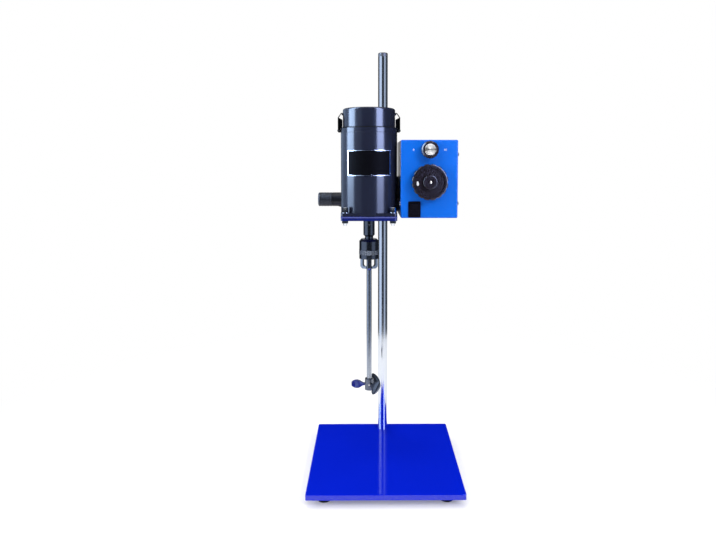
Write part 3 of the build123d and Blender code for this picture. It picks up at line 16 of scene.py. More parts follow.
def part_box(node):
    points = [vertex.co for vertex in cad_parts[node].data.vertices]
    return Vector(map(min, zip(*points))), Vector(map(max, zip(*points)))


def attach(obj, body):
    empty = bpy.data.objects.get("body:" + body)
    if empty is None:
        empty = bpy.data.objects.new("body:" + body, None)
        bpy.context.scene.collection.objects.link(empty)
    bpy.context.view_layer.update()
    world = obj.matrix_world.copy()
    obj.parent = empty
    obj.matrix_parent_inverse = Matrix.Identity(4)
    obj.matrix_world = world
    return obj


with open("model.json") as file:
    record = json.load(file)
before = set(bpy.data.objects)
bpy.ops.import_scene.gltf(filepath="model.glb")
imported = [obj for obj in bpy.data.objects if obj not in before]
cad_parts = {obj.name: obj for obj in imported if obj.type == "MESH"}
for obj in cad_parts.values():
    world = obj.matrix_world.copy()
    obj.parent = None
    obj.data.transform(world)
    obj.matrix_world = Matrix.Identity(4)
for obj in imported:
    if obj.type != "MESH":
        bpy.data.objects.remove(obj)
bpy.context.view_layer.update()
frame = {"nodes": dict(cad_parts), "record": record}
nodes = frame["nodes"]
mm = 0.001

# %% [markdown]
# ## The camera
# The photograph was taken from a little below the motor's top, almost level, with the base low in the
# picture. A level camera would need a large lens shift for that, and a tilted one would make the column
# lean. A small tilt with a small shift keeps the column upright to the eye and shows the base from
# above as the photograph does.

# %% Camera
photo_width = 716
focal_pixels = 588.8
sensor_mm = 36.0
camera_place = Vector((-0.0288, -1.1199, 0.5963))
camera_yaw = -0.40
camera_pitch = 4.07
camera_data = bpy.data.cameras.new("photo_camera")
camera_data.sensor_width = sensor_mm
camera_data.lens = focal_pixels / photo_width * sensor_mm
camera_data.shift_x = -0.0213
camera_data.shift_y = -0.09
camera = bpy.data.objects.new("photo_camera", camera_data)
camera.location = camera_place
camera.rotation_euler = (radians(90 - camera_pitch), 0, radians(camera_yaw))
bpy.context.scene.collection.objects.link(camera)
bpy.context.scene.camera = camera
bpy.context.scene.view_settings.view_transform = "Standard"
print("lens", round(camera_data.lens, 2))

# %% [markdown]
# ## Floor, background and lamps
# The photograph is a cut-out on white, lit softly. A pale floor catches a faint shadow near the base
# and turns white further out, and the world is white where the camera or a reflection sees it and
# dimmer where it lights the object. Four large soft lamps do the lighting: one high on the right, whose
# shadows fall to the left of the knobs, one on the left, one above and one behind.

# %% Floor and world
floor_half = 14.0
floor_tone = (0.80, 0.80, 0.80, 1)
floor_lift = 0.20
fade_start, fade_end = 0.30, 1.0
world_dim, world_full = 0.45, 1.0


def seen_rays(tree):
    """A Light Path node, and a value that is 1 for rays from the camera, a reflection or a clear piece."""
    path = tree.nodes.new("ShaderNodeLightPath")
    seen = tree.nodes.new("ShaderNodeMath")
    seen.operation = "MAXIMUM"
    through = tree.nodes.new("ShaderNodeMath")
    through.operation = "MAXIMUM"
    tree.links.new(path.outputs["Is Camera Ray"], seen.inputs[0])
    tree.links.new(path.outputs["Is Glossy Ray"], seen.inputs[1])
    tree.links.new(seen.outputs[0], through.inputs[0])
    tree.links.new(path.outputs["Is Transmission Ray"], through.inputs[1])
    return path, through.outputs[0]


floor_mesh = bpy.data.meshes.new("floor")
floor_corners = [(-floor_half, -floor_half, 0), (floor_half, -floor_half, 0)]
floor_corners += [(floor_half, floor_half, 0), (-floor_half, floor_half, 0)]
floor_mesh.from_pydata(floor_corners, [], [(0, 1, 2, 3)])
floor = bpy.data.objects.new("floor", floor_mesh)
bpy.context.scene.collection.objects.link(floor)
floor_paint = bpy.data.materials.new("pale_floor")
floor_paint.use_nodes = True
floor_tree = floor_paint.node_tree
floor_tree.nodes.clear()
floor_out = floor_tree.nodes.new("ShaderNodeOutputMaterial")
floor_add = floor_tree.nodes.new("ShaderNodeAddShader")
floor_matte = floor_tree.nodes.new("ShaderNodeBsdfDiffuse")
floor_matte.inputs["Color"].default_value = floor_tone
floor_glow = floor_tree.nodes.new("ShaderNodeEmission")
floor_path, floor_through = seen_rays(floor_tree)
floor_level = floor_tree.nodes.new("ShaderNodeMath")
floor_level.operation = "MULTIPLY"
floor_level.inputs[1].default_value = floor_lift
floor_tree.links.new(floor_path.outputs["Is Camera Ray"], floor_level.inputs[0])
floor_tree.links.new(floor_level.outputs[0], floor_glow.inputs["Strength"])
floor_tree.links.new(floor_matte.outputs[0], floor_add.inputs[0])
floor_tree.links.new(floor_glow.outputs[0], floor_add.inputs[1])
floor_white = floor_tree.nodes.new("ShaderNodeEmission")
floor_place = floor_tree.nodes.new("ShaderNodeTexCoord")
floor_reach = floor_tree.nodes.new("ShaderNodeVectorMath")
floor_reach.operation = "LENGTH"
floor_fade = floor_tree.nodes.new("ShaderNodeMapRange")
floor_fade.interpolation_type = "SMOOTHSTEP"
floor_fade.inputs["From Min"].default_value = fade_start
floor_fade.inputs["From Max"].default_value = fade_end
floor_share = floor_tree.nodes.new("ShaderNodeMath")
floor_share.operation = "MULTIPLY"
floor_mix = floor_tree.nodes.new("ShaderNodeMixShader")
floor_tree.links.new(floor_place.outputs["Object"], floor_reach.inputs[0])
floor_tree.links.new(floor_reach.outputs["Value"], floor_fade.inputs["Value"])
floor_tree.links.new(floor_fade.outputs[0], floor_share.inputs[0])
floor_tree.links.new(floor_through, floor_share.inputs[1])
floor_tree.links.new(floor_share.outputs[0], floor_mix.inputs["Fac"])
floor_tree.links.new(floor_add.outputs[0], floor_mix.inputs[1])
floor_tree.links.new(floor_white.outputs[0], floor_mix.inputs[2])
floor_tree.links.new(floor_mix.outputs[0], floor_out.inputs["Surface"])
floor_mesh.materials.append(floor_paint)

world = bpy.data.worlds.new("white_studio")
bpy.context.scene.world = world
world.use_nodes = True
sky = world.node_tree
sky_back = sky.nodes["Background"]
sky_back.inputs["Color"].default_value = (1, 1, 1, 1)
_, sky_through = seen_rays(sky)
sky_level = sky.nodes.new("ShaderNodeMapRange")
sky_level.inputs["To Min"].default_value = world_dim
sky_level.inputs["To Max"].default_value = world_full
sky.links.new(sky_through, sky_level.inputs["Value"])
sky.links.new(sky_level.outputs[0], sky_back.inputs["Strength"])
print("floor side", 2 * floor_half)


# %% Lamps
def soft_lamp(name, place, aim, width, height, watts, tint=(1, 1, 1)):
    """A large area lamp that lights the object but isn't mirrored in it."""
    data = bpy.data.lights.new(name, "AREA")
    data.shape = "RECTANGLE"
    data.size = width
    data.size_y = height
    data.energy = watts
    data.color = tint
    lamp = bpy.data.objects.new(name, data)
    lamp.location = place
    lamp.rotation_euler = (Vector(aim) - Vector(place)).to_track_quat("-Z", "Y").to_euler()
    lamp.visible_glossy = False
    bpy.context.scene.collection.objects.link(lamp)
    return lamp


object_middle = (0.0, 0.0, 0.45)
lamps = [
    soft_lamp("key_lamp", (1.5, -1.9, 1.9), object_middle, 1.1, 1.1, 46),
    soft_lamp("left_lamp", (-1.9, -1.2, 1.1), object_middle, 1.0, 1.5, 24),
    soft_lamp("top_lamp", (0.0, -0.3, 2.4), object_middle, 1.6, 1.6, 22),
    soft_lamp("rear_lamp", (-1.0, 2.0, 1.5), object_middle, 1.4, 1.4, 20),
]
print("lamps", [lamp.name for lamp in lamps])

# %% [markdown]
# ## Cards for the reflections
# Enamel and chrome look like what they mirror. In the photograph the motor shows a broad bright band on
# its left and a paler one right of its middle, and the column shows light stripes with a dark line
# between. A studio makes these with lit and black cards round the object. Enamel mirrors only a
# twentieth of what it faces and chrome nearly all, so each gets a ring of cards of its own through light
# linking: bright strips for the paint, and round them dim ones for the metal. The timer knob's cap and
# the large knob's screw share one card of their own. A black sheet stands far behind, where the top of
# the base mirrors it to the camera, so that the blue stays deep. Only reflections see any of these.
# Angles are counted from the camera's side, positive to the right, about the axis that the ring is made
# for.


# %% Cards
paint_side = bpy.data.collections.new("mirrors_the_bright_cards")
metal_side = bpy.data.collections.new("mirrors_the_dim_cards")
cap_side = bpy.data.collections.new("mirrors_the_cap_card")
ring_low, ring_high = 0.0, 1.7
change_low, change_high = 0.50, 0.68


def only_in_reflections(sheet):
    """Hides a sheet from all rays but those of a reflection."""
    sheet.visible_camera = False
    sheet.visible_diffuse = False
    sheet.visible_shadow = False
    sheet.visible_transmission = False


def card(name, side, centre, reach, start, end, tint, low_strength, high_strength, clear):
    """A curved upright card that only reflections see: its light changes from its foot to its head."""
    steps = 14
    rows = []
    for step in range(steps + 1):
        angle = radians(start + (end - start) * step / steps)
        place = (centre[0] + reach * sin(angle), centre[1] - reach * cos(angle))
        rows.append((*place, ring_low))
        rows.append((*place, ring_high))
    faces = [(2 * n, 2 * n + 2, 2 * n + 3, 2 * n + 1) for n in range(steps)]
    mesh = bpy.data.meshes.new(name)
    mesh.from_pydata(rows, [], faces)
    sheet = bpy.data.objects.new(name, mesh)
    bpy.context.scene.collection.objects.link(sheet)
    paint = bpy.data.materials.new(name)
    paint.use_nodes = True
    tree = paint.node_tree
    tree.nodes.clear()
    out = tree.nodes.new("ShaderNodeOutputMaterial")
    glow = tree.nodes.new("ShaderNodeEmission")
    glow.inputs["Color"].default_value = (*tint, 1)
    split = tree.nodes.new("ShaderNodeSeparateXYZ")
    level = tree.nodes.new("ShaderNodeMapRange")
    level.inputs["From Min"].default_value = change_low
    level.inputs["From Max"].default_value = change_high
    level.inputs["To Min"].default_value = low_strength
    level.inputs["To Max"].default_value = high_strength
    tree.links.new(tree.nodes.new("ShaderNodeTexCoord").outputs["Object"], split.inputs[0])
    tree.links.new(split.outputs["Z"], level.inputs["Value"])
    tree.links.new(level.outputs[0], glow.inputs["Strength"])
    if clear:
        through = tree.nodes.new("ShaderNodeBsdfTransparent")
        both = tree.nodes.new("ShaderNodeAddShader")
        tree.links.new(glow.outputs[0], both.inputs[0])
        tree.links.new(through.outputs[0], both.inputs[1])
        tree.links.new(both.outputs[0], out.inputs["Surface"])
    else:
        tree.links.new(glow.outputs[0], out.inputs["Surface"])
    mesh.materials.append(paint)
    sheet.light_linking.receiver_collection = side
    only_in_reflections(sheet)
    return sheet


motor_centre = (-0.029, 0.015)
column_centre = (0.0, 0.12)
blue_white = (0.52, 0.70, 1.0)
violet_white = (0.50, 0.60, 1.0)
pale_blue = (0.68, 0.80, 1.0)
inner, outer = 0.60, 0.78
cap_centre = (0.083, 0.0)
cap_distance = 0.55
cards = [
    card("paint_left_grey", paint_side, motor_centre, inner, -64, -30, blue_white, 0.5, 0.8, True),
    card("paint_left_strip", paint_side, motor_centre, inner, -94, -62, blue_white, 9.0, 24.0, True),
    card("paint_left_edge", paint_side, motor_centre, inner, -150, -94, blue_white, 0.9, 1.2, True),
    card("paint_right_strip", paint_side, motor_centre, inner, 31, 59, violet_white, 9.0, 24.0, True),
    card("metal_front", metal_side, column_centre, outer, -28, 27, pale_blue, 0.05, 0.05, False),
    card("metal_left_strip", metal_side, column_centre, outer, -92, -28, pale_blue, 0.90, 0.90, False),
    card("metal_left_flag", metal_side, column_centre, outer, -160, -92, pale_blue, 0.05, 0.05, False),
    card("metal_right_strip", metal_side, column_centre, outer, 27, 66, pale_blue, 0.60, 0.60, False),
    card("metal_right_flag", metal_side, column_centre, outer, 66, 160, pale_blue, 0.08, 0.08, False),
    card("cap_strip", cap_side, cap_centre, cap_distance, 22, 52, (1, 1, 1), 7.0, 7.0, True),
]
far_back = 2.6
back_low, back_high = 0.9, 3.4
back_half = 1.3
back_mesh = bpy.data.meshes.new("back_flag")
back_corners = [(-back_half, far_back, back_low), (back_half, far_back, back_low)]
back_corners += [(back_half, far_back, back_high), (-back_half, far_back, back_high)]
back_mesh.from_pydata(back_corners, [], [(0, 1, 2, 3)])
back_flag = bpy.data.objects.new("back_flag", back_mesh)
bpy.context.scene.collection.objects.link(back_flag)
back_paint = bpy.data.materials.new("back_flag")
back_paint.use_nodes = True
back_shader = back_paint.node_tree.nodes["Principled BSDF"]
back_shader.inputs["Base Color"].default_value = (0.004, 0.004, 0.004, 1)
back_shader.inputs["Specular IOR Level"].default_value = 0.0
back_mesh.materials.append(back_paint)
only_in_reflections(back_flag)
print("cards", len(cards) + 1)

# %% [markdown]
# ## Effects that several finishes share
# Paint, plastic and metal all need small changes over their surface, or they look like plain colour.
# Each effect is a node group, built once with named sockets: a paint film with orange peel and slow
# changes of tone, fine lines for turned or brushed metal, and handling marks that make a gloss uneven.
# A group puts out only colours, values and heights, and the shader itself stays in each material.


# %% Group helpers
def new_group(name, inputs, outputs):
    """An empty shader node group with these sockets, and its two end nodes."""
    group = bpy.data.node_groups.new(name, "ShaderNodeTree")
    for label, kind, value in inputs:
        socket = group.interface.new_socket(label, in_out="INPUT", socket_type=kind)
        if value is not None:
            socket.default_value = value
    for label, kind in outputs:
        group.interface.new_socket(label, in_out="OUTPUT", socket_type=kind)
    return group, group.nodes.new("NodeGroupInput"), group.nodes.new("NodeGroupOutput")


def math_node(tree, operation, first, second=None, third=None):
    """A Math node whose inputs are sockets or plain numbers, and its output."""
    node = tree.nodes.new("ShaderNodeMath")
    node.operation = operation
    for socket, value in zip(node.inputs, (first, second, third)):
        if value is None:
            continue
        if isinstance(value, (int, float)):
            socket.default_value = value
        else:
            tree.links.new(value, socket)
    return node.outputs[0]


def noise_node(tree, vector, scale, detail=3.0, roughness=0.5):
    """A noise texture on this vector, and its value output."""
    node = tree.nodes.new("ShaderNodeTexNoise")
    node.inputs["Detail"].default_value = detail
    node.inputs["Roughness"].default_value = roughness
    if isinstance(scale, (int, float)):
        node.inputs["Scale"].default_value = scale
    else:
        tree.links.new(scale, node.inputs["Scale"])
    tree.links.new(vector, node.inputs["Vector"])
    return node.outputs["Fac"]


def shade_node(tree, colour, factor):
    """A colour multiplied by a grey value, and its output."""
    node = tree.nodes.new("ShaderNodeVectorMath")
    node.operation = "SCALE"
    tree.links.new(colour, node.inputs[0])
    tree.links.new(factor, node.inputs["Scale"])
    return node.outputs[0]


film_sockets = [
    ("Vector", "NodeSocketVector", None),
    ("Colour", "NodeSocketColor", (0.5, 0.5, 0.5, 1)),
    ("Peel Scale", "NodeSocketFloat", 900.0),
    ("Tone Spread", "NodeSocketFloat", 0.15),
    ("Gloss", "NodeSocketFloat", 0.12),
    ("Gloss Spread", "NodeSocketFloat", 0.08),
]
film, film_in, film_out = new_group(
    "paint_film",
    film_sockets,
    [("Colour", "NodeSocketColor"), ("Roughness", "NodeSocketFloat"), ("Height", "NodeSocketFloat")],
)
film_place = film_in.outputs["Vector"]
drift_scale = 9.0
rub_scale = 140.0
film_slow = noise_node(film, film_place, drift_scale, 4.0)
film_fine = noise_node(film, film_place, rub_scale, 3.0)
film_tone = math_node(film, "MULTIPLY_ADD", film_slow, film_in.outputs["Tone Spread"], 1.0)
film_half = math_node(film, "MULTIPLY", film_in.outputs["Tone Spread"], 0.5)
film_level = math_node(film, "SUBTRACT", film_tone, film_half)
film_wear = math_node(film, "MULTIPLY", film_fine, film_slow)
film_gloss, film_spread = film_in.outputs["Gloss"], film_in.outputs["Gloss Spread"]
film_rough = math_node(film, "MULTIPLY_ADD", film_wear, film_spread, film_gloss)
film_peel = noise_node(film, film_place, film_in.outputs["Peel Scale"], 2.0)
film.links.new(shade_node(film, film_in.outputs["Colour"], film_level), film_out.inputs["Colour"])
film.links.new(film_rough, film_out.inputs["Roughness"])
film.links.new(film_peel, film_out.inputs["Height"])

line_sockets = [
    ("Vector", "NodeSocketVector", None),
    ("Stretch", "NodeSocketVector", (4.0, 4.0, 1500.0)),
    ("Colour", "NodeSocketColor", (0.6, 0.6, 0.6, 1)),
    ("Depth", "NodeSocketFloat", 0.25),
    ("Gloss", "NodeSocketFloat", 0.2),
]
lines, lines_in, lines_out = new_group(
    "tool_lines",
    line_sockets,
    [("Colour", "NodeSocketColor"), ("Roughness", "NodeSocketFloat"), ("Height", "NodeSocketFloat")],
)
lines_place = lines.nodes.new("ShaderNodeVectorMath")
lines_place.operation = "MULTIPLY"
lines.links.new(lines_in.outputs["Vector"], lines_place.inputs[0])
lines.links.new(lines_in.outputs["Stretch"], lines_place.inputs[1])
spot_scale = 55.0
spot_share = 0.6
mean_level = 0.8
gloss_change = 0.12
lines_cut = noise_node(lines, lines_place.outputs[0], 1.0, 3.0, 0.7)
lines_spot = noise_node(lines, lines_in.outputs["Vector"], spot_scale, 4.0)
lines_sum = math_node(lines, "MULTIPLY_ADD", lines_spot, spot_share, lines_cut)
lines_tone = math_node(lines, "MULTIPLY_ADD", lines_sum, lines_in.outputs["Depth"], 1.0)
lines_drop = math_node(lines, "MULTIPLY", lines_in.outputs["Depth"], mean_level)
lines_level = math_node(lines, "SUBTRACT", lines_tone, lines_drop)
lines_rough = math_node(lines, "MULTIPLY_ADD", lines_sum, gloss_change, lines_in.outputs["Gloss"])
lines.links.new(shade_node(lines, lines_in.outputs["Colour"], lines_level), lines_out.inputs["Colour"])
lines.links.new(lines_rough, lines_out.inputs["Roughness"])
lines.links.new(lines_cut, lines_out.inputs["Height"])

stripe_sockets = [
    ("Place", "NodeSocketFloat", 0.0),
    ("Pitch", "NodeSocketFloat", 0.0005),
    ("Colour", "NodeSocketColor", (0.3, 0.3, 0.3, 1)),
    ("Dark", "NodeSocketFloat", 0.45),
]
stripes, stripes_in, stripes_out = new_group(
    "even_stripes", stripe_sockets, [("Colour", "NodeSocketColor"), ("Height", "NodeSocketFloat")]
)
stripes_turn = math_node(stripes, "DIVIDE", stripes_in.outputs["Place"], stripes_in.outputs["Pitch"])
stripes_angle = math_node(stripes, "MULTIPLY", stripes_turn, 2 * pi)
stripes_wave = math_node(stripes, "MULTIPLY_ADD", math_node(stripes, "SINE", stripes_angle), 0.5, 0.5)
stripes_deep = math_node(stripes, "SUBTRACT", 1.0, stripes_in.outputs["Dark"])
stripes_level = math_node(stripes, "MULTIPLY_ADD", stripes_wave, stripes_in.outputs["Dark"], stripes_deep)
stripes_shade = shade_node(stripes, stripes_in.outputs["Colour"], stripes_level)
stripes.links.new(stripes_shade, stripes_out.inputs["Colour"])
stripes.links.new(stripes_wave, stripes_out.inputs["Height"])
print("groups", [g.name for g in bpy.data.node_groups])


# %% Material helpers
def start_material(name):
    """A new node material: its tree, its shader and the object's own coordinates."""
    material = bpy.data.materials.new(name)
    material.use_nodes = True
    tree = material.node_tree
    shader = tree.nodes["Principled BSDF"]
    place = tree.nodes.new("ShaderNodeTexCoord").outputs["Object"]
    return material, tree, shader, place


def set_plain(shader, **values):
    """Sets plain numbers on the shader's own sockets: underscores stand for spaces."""
    for name, value in values.items():
        shader.inputs[name.replace("_", " ")].default_value = value


def bump(tree, shader, height, strength, distance):
    """Feeds a height through a Bump node to the shader's normal."""
    node = tree.nodes.new("ShaderNodeBump")
    node.inputs["Strength"].default_value = strength
    node.inputs["Distance"].default_value = distance
    tree.links.new(height, node.inputs["Height"])
    tree.links.new(node.outputs["Normal"], shader.inputs["Normal"])


def use_group(tree, group, place=None, **values):
    """Puts a group into a material, fed with a place and with values of its own."""
    node = tree.nodes.new("ShaderNodeGroup")
    node.node_tree = group
    for name, value in values.items():
        node.inputs[name.replace("_", " ")].default_value = value
    if place is not None:
        tree.links.new(place, node.inputs[0])
    return node


def along(tree, place, axis):
    """One coordinate of a place, as a value."""
    split = tree.nodes.new("ShaderNodeSeparateXYZ")
    tree.links.new(place, split.inputs[0])
    return split.outputs[axis]


# %% [markdown]
# ## Painted metal
# The base, the plate, the motor, the box and the casting are all enamelled, so one function makes them
# all. Real enamel is never one colour: its tone drifts over a hand's width, its gloss is rubbed here
# and there, and its surface ripples like orange peel. The motor's paint is a dark slate and very
# glossy, the base is royal blue, the panel azure and smoother, and the castings are rougher.


# %% Painted finishes
peel_depth = 0.0004


def enamel(name, colour, gloss=0.12, peel=900.0, ripple=0.05, spread=0.15, specular=0.4, uneven=0.08):
    """Paint on metal, with drifting tone, uneven gloss and orange peel."""
    material, tree, shader, place = start_material(name)
    node = use_group(tree, film, place, Colour=(*colour, 1), Peel_Scale=peel, Tone_Spread=spread)
    node.inputs["Gloss"].default_value = gloss
    node.inputs["Gloss Spread"].default_value = uneven
    tree.links.new(node.outputs["Colour"], shader.inputs["Base Color"])
    tree.links.new(node.outputs["Roughness"], shader.inputs["Roughness"])
    set_plain(shader, Specular_IOR_Level=specular)
    bump(tree, shader, node.outputs["Height"], ripple, peel_depth)
    return material


finishes = {
    "blue_enamel": enamel(
        "blue_enamel", (0.001, 0.013, 0.56), gloss=0.05, peel=260.0, ripple=0.02, specular=0.8
    ),
    "slate_enamel": enamel("slate_enamel", (0.012, 0.015, 0.032), gloss=0.16, peel=420.0, ripple=0.05),
    "black_enamel": enamel("black_enamel", (0.008, 0.008, 0.012), gloss=0.32, peel=700.0, ripple=0.25),
    "azure_enamel": enamel(
        "azure_enamel", (0.001, 0.120, 0.64), gloss=0.22, peel=1100.0, ripple=0.06, specular=0.3
    ),
    "plate_black": enamel(
        "plate_black", (0.002, 0.002, 0.003), gloss=0.50, peel=1400.0, ripple=0.03, specular=0.02
    ),
}
plate_enamel = enamel("plate_enamel", (0.006, 0.013, 0.125), gloss=0.14, peel=420.0, ripple=0.05)
# A lighter copy of the plate's paint for its upper edge: a painted highlight.
plate_edge_painted_highlight = enamel("plate_edge_painted_highlight", (0.070, 0.085, 0.300), gloss=0.20, peel=420.0, ripple=0.04)
print("paints", len(finishes))

# %% [markdown]
# ## Bright metal
# The column is chromed, the chuck, arbor and shaft are turned steel, and the jaws are ground. On turned
# steel the tool leaves fine rings round the axis, so the noise is stretched along two directions and
# kept fine along the third. Chrome keeps only a trace of them. Each metal gets its lines along its own
# axis.

# %% Metals
ring_z = (5.0, 5.0, 2600.0)
ring_x = (2600.0, 5.0, 5.0)
line_depth = 0.0002
stack_depth = 0.0003


def metal(name, colour, gloss, stretch=ring_z, depth=0.2, cut=0.08):
    """Bare metal with tool lines in its colour, gloss and surface."""
    material, tree, shader, place = start_material(name)
    node = use_group(tree, lines, place, Stretch=stretch, Colour=(*colour, 1), Depth=depth, Gloss=gloss)
    tree.links.new(node.outputs["Colour"], shader.inputs["Base Color"])
    tree.links.new(node.outputs["Roughness"], shader.inputs["Roughness"])
    set_plain(shader, Metallic=1.0)
    bump(tree, shader, node.outputs["Height"], cut, line_depth)
    return material


def striped(name, colour, pitch, axis, gloss, metallic, dark, height):
    """A stack or winding: even stripes along one axis, with tool lines' unevenness in the gloss."""
    material, tree, shader, place = start_material(name)
    node = use_group(tree, stripes, along(tree, place, axis), Pitch=pitch, Colour=(*colour, 1), Dark=dark)
    drift = use_group(tree, lines, place, Stretch=(60.0, 60.0, 60.0), Gloss=gloss)
    tree.links.new(node.outputs["Colour"], shader.inputs["Base Color"])
    tree.links.new(drift.outputs["Roughness"], shader.inputs["Roughness"])
    set_plain(shader, Metallic=metallic)
    bump(tree, shader, node.outputs["Height"], height, stack_depth)
    return material


finishes["chrome"] = metal("chrome", (0.78, 0.82, 0.90), 0.03, depth=0.03, cut=0.01)
finishes["bright_steel"] = metal("bright_steel", (0.42, 0.46, 0.54), 0.12, depth=0.25, cut=0.10)
chuck_steel = metal("chuck_steel", (0.13, 0.145, 0.18), 0.15, depth=0.3, cut=0.10)
propeller_steel = metal("propeller_steel", (0.20, 0.22, 0.27), 0.30, stretch=(40.0, 40.0, 300.0), depth=0.3)
finishes["sheet_steel"] = metal(
    "sheet_steel", (0.035, 0.037, 0.045), 0.22, stretch=(900.0, 900.0, 6.0), cut=0.05
)
finishes["fastener_steel"] = metal("fastener_steel", (0.62, 0.63, 0.66), 0.22, stretch=(90.0, 90.0, 90.0))
finishes["bearing_steel"] = metal("bearing_steel", (0.68, 0.69, 0.72), 0.08)
finishes["brass"] = metal("brass", (0.60, 0.40, 0.14), 0.24)
finishes["laminations"] = striped(
    "laminations", (0.20, 0.20, 0.22), 0.0010, "Z", 0.45, 1.0, 0.5, 0.3
)
finishes["copper"] = striped("copper", (0.42, 0.13, 0.05), 0.0011, "Z", 0.28, 0.8, 0.6, 0.8)
screw_steel = metal("screw_steel", (0.50, 0.51, 0.54), 0.2, stretch=ring_x)
print("metals", len(finishes))

# %% [markdown]
# ## Plastics, rubber and carbon
# The knobs are a polished black thermoset with a faint brown-violet cast and fine flow marks under the
# polish. The grip and the gland are moulded with a dull grain, the feet and the bushing are rubber with
# a dusty bloom, and the inside of the motor has nylon and pressed carbon. The paint film's group serves
# them all with other values.

# %% Moulded finishes
finishes["black_bakelite"] = enamel(
    "black_bakelite",
    (0.010, 0.007, 0.011),
    gloss=0.20,
    peel=90.0,
    ripple=0.05,
    spread=0.8,
    specular=0.5,
    uneven=0.2,
)
finishes["black_plastic"] = enamel(
    "black_plastic", (0.022, 0.024, 0.034), gloss=0.42, peel=2300.0, ripple=0.30, spread=0.3, specular=0.4
)
finishes["grey_plastic"] = enamel(
    "grey_plastic", (0.045, 0.048, 0.056), gloss=0.38, peel=1900.0, ripple=0.20, spread=0.3
)
finishes["rubber"] = enamel(
    "rubber",
    (0.006, 0.006, 0.007),
    gloss=0.62,
    peel=1600.0,
    ripple=0.35,
    spread=0.9,
    specular=0.3,
    uneven=0.25,
)
finishes["nylon"] = enamel("nylon", (0.44, 0.41, 0.34), gloss=0.40, peel=1200.0, ripple=0.15)
finishes["carbon"] = enamel(
    "carbon", (0.012, 0.012, 0.013), gloss=0.55, peel=2600.0, ripple=0.4, spread=0.5
)
switch_black = enamel(
    "switch_black", (0.002, 0.0015, 0.003), gloss=0.45, peel=1800.0, ripple=0.1, specular=0.06
)
white_print = enamel(
    "white_print", (0.80, 0.84, 0.90), gloss=0.35, peel=1500.0, ripple=0.1, spread=0.1
)
plate_rim = metal("plate_rim", (0.78, 0.80, 0.86), 0.16, stretch=(5.0, 5.0, 1800.0), depth=0.1)
print("finishes", len(finishes))


# %% [markdown]
# ## Knurls and spun metal
# The chuck's scroll ring is knurled so that a hand can turn it, and the timer knob's cap is spun, with
# rings round its middle that spread its highlight. Both patterns follow the part's own axis, so they
# are worked out from the distance and the angle about that axis.


# %% Patterns about an axis
knurl_depth = 0.0005
spin_depth = 0.0001


def about_axis(tree, place, centre, first, second):
    """Angle and distance about an axis through a centre, in the plane of two coordinates."""
    shift = tree.nodes.new("ShaderNodeVectorMath")
    shift.operation = "SUBTRACT"
    shift.inputs[1].default_value = centre
    tree.links.new(place, shift.inputs[0])
    across = along(tree, shift.outputs[0], first)
    up = along(tree, shift.outputs[0], second)
    angle = math_node(tree, "ARCTAN2", up, across)
    up_square = math_node(tree, "MULTIPLY", up, up)
    reach = math_node(tree, "SQRT", math_node(tree, "MULTIPLY_ADD", across, across, up_square))
    return angle, reach


def knurled_steel(name, centre, ridges, slant):
    """Turned steel with crossed ridges pressed into it about a vertical axis."""
    material, tree, shader, place = start_material(name)
    angle, _ = about_axis(tree, place, centre, "X", "Y")
    height = along(tree, place, "Z")
    turn = math_node(tree, "MULTIPLY", angle, ridges)
    rise = math_node(tree, "MULTIPLY", height, slant)
    one_way = math_node(tree, "SINE", math_node(tree, "ADD", turn, rise))
    other_way = math_node(tree, "SINE", math_node(tree, "SUBTRACT", turn, rise))
    crossed = math_node(tree, "MULTIPLY_ADD", one_way, 0.5, math_node(tree, "MULTIPLY", other_way, 0.5))
    node = use_group(tree, lines, place, Colour=(0.40, 0.43, 0.50, 1), Depth=0.3, Gloss=0.16)
    tree.links.new(node.outputs["Colour"], shader.inputs["Base Color"])
    tree.links.new(node.outputs["Roughness"], shader.inputs["Roughness"])
    set_plain(shader, Metallic=1.0)
    bump(tree, shader, crossed, 0.7, knurl_depth)
    return material


def spun_metal(name, centre, pitch):
    """Bright metal with fine rings about an axis that points at the user."""
    material, tree, shader, place = start_material(name)
    _, reach = about_axis(tree, place, centre, "X", "Z")
    rings = use_group(tree, stripes, reach, Pitch=pitch, Colour=(0.80, 0.81, 0.84, 1), Dark=0.12)
    drift = use_group(tree, lines, place, Stretch=(300.0, 300.0, 300.0), Gloss=0.22)
    tree.links.new(rings.outputs["Colour"], shader.inputs["Base Color"])
    tree.links.new(drift.outputs["Roughness"], shader.inputs["Roughness"])
    turned = tree.nodes.new("ShaderNodeTangent")
    turned.direction_type = "RADIAL"
    turned.axis = "Y"
    tree.links.new(turned.outputs[0], shader.inputs["Tangent"])
    set_plain(shader, Metallic=1.0, Anisotropic=0.9)
    bump(tree, shader, rings.outputs["Height"], 0.15, spin_depth)
    return material


def middle(name):
    """The middle of a CAD node's box."""
    low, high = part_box(name)
    return (Vector(low) + Vector(high)) / 2


knurl_count = 36.0
knurl_slant = 1500.0
spin_pitch = 0.0006
ring_finish = knurled_steel("knurled_steel", middle("chuck_ring"), knurl_count, knurl_slant)
cap_finish = spun_metal("spun_metal", middle("timer_knob_cap"), spin_pitch)
print("patterned", ring_finish.name, cap_finish.name)

# %% [markdown]
# ## Finishes on the solids
# The frame's record names a material slot for every solid, and the finishes above have those names, so
# most solids get theirs by slot. A few differ from their slot in the direction or pattern of their
# lines.

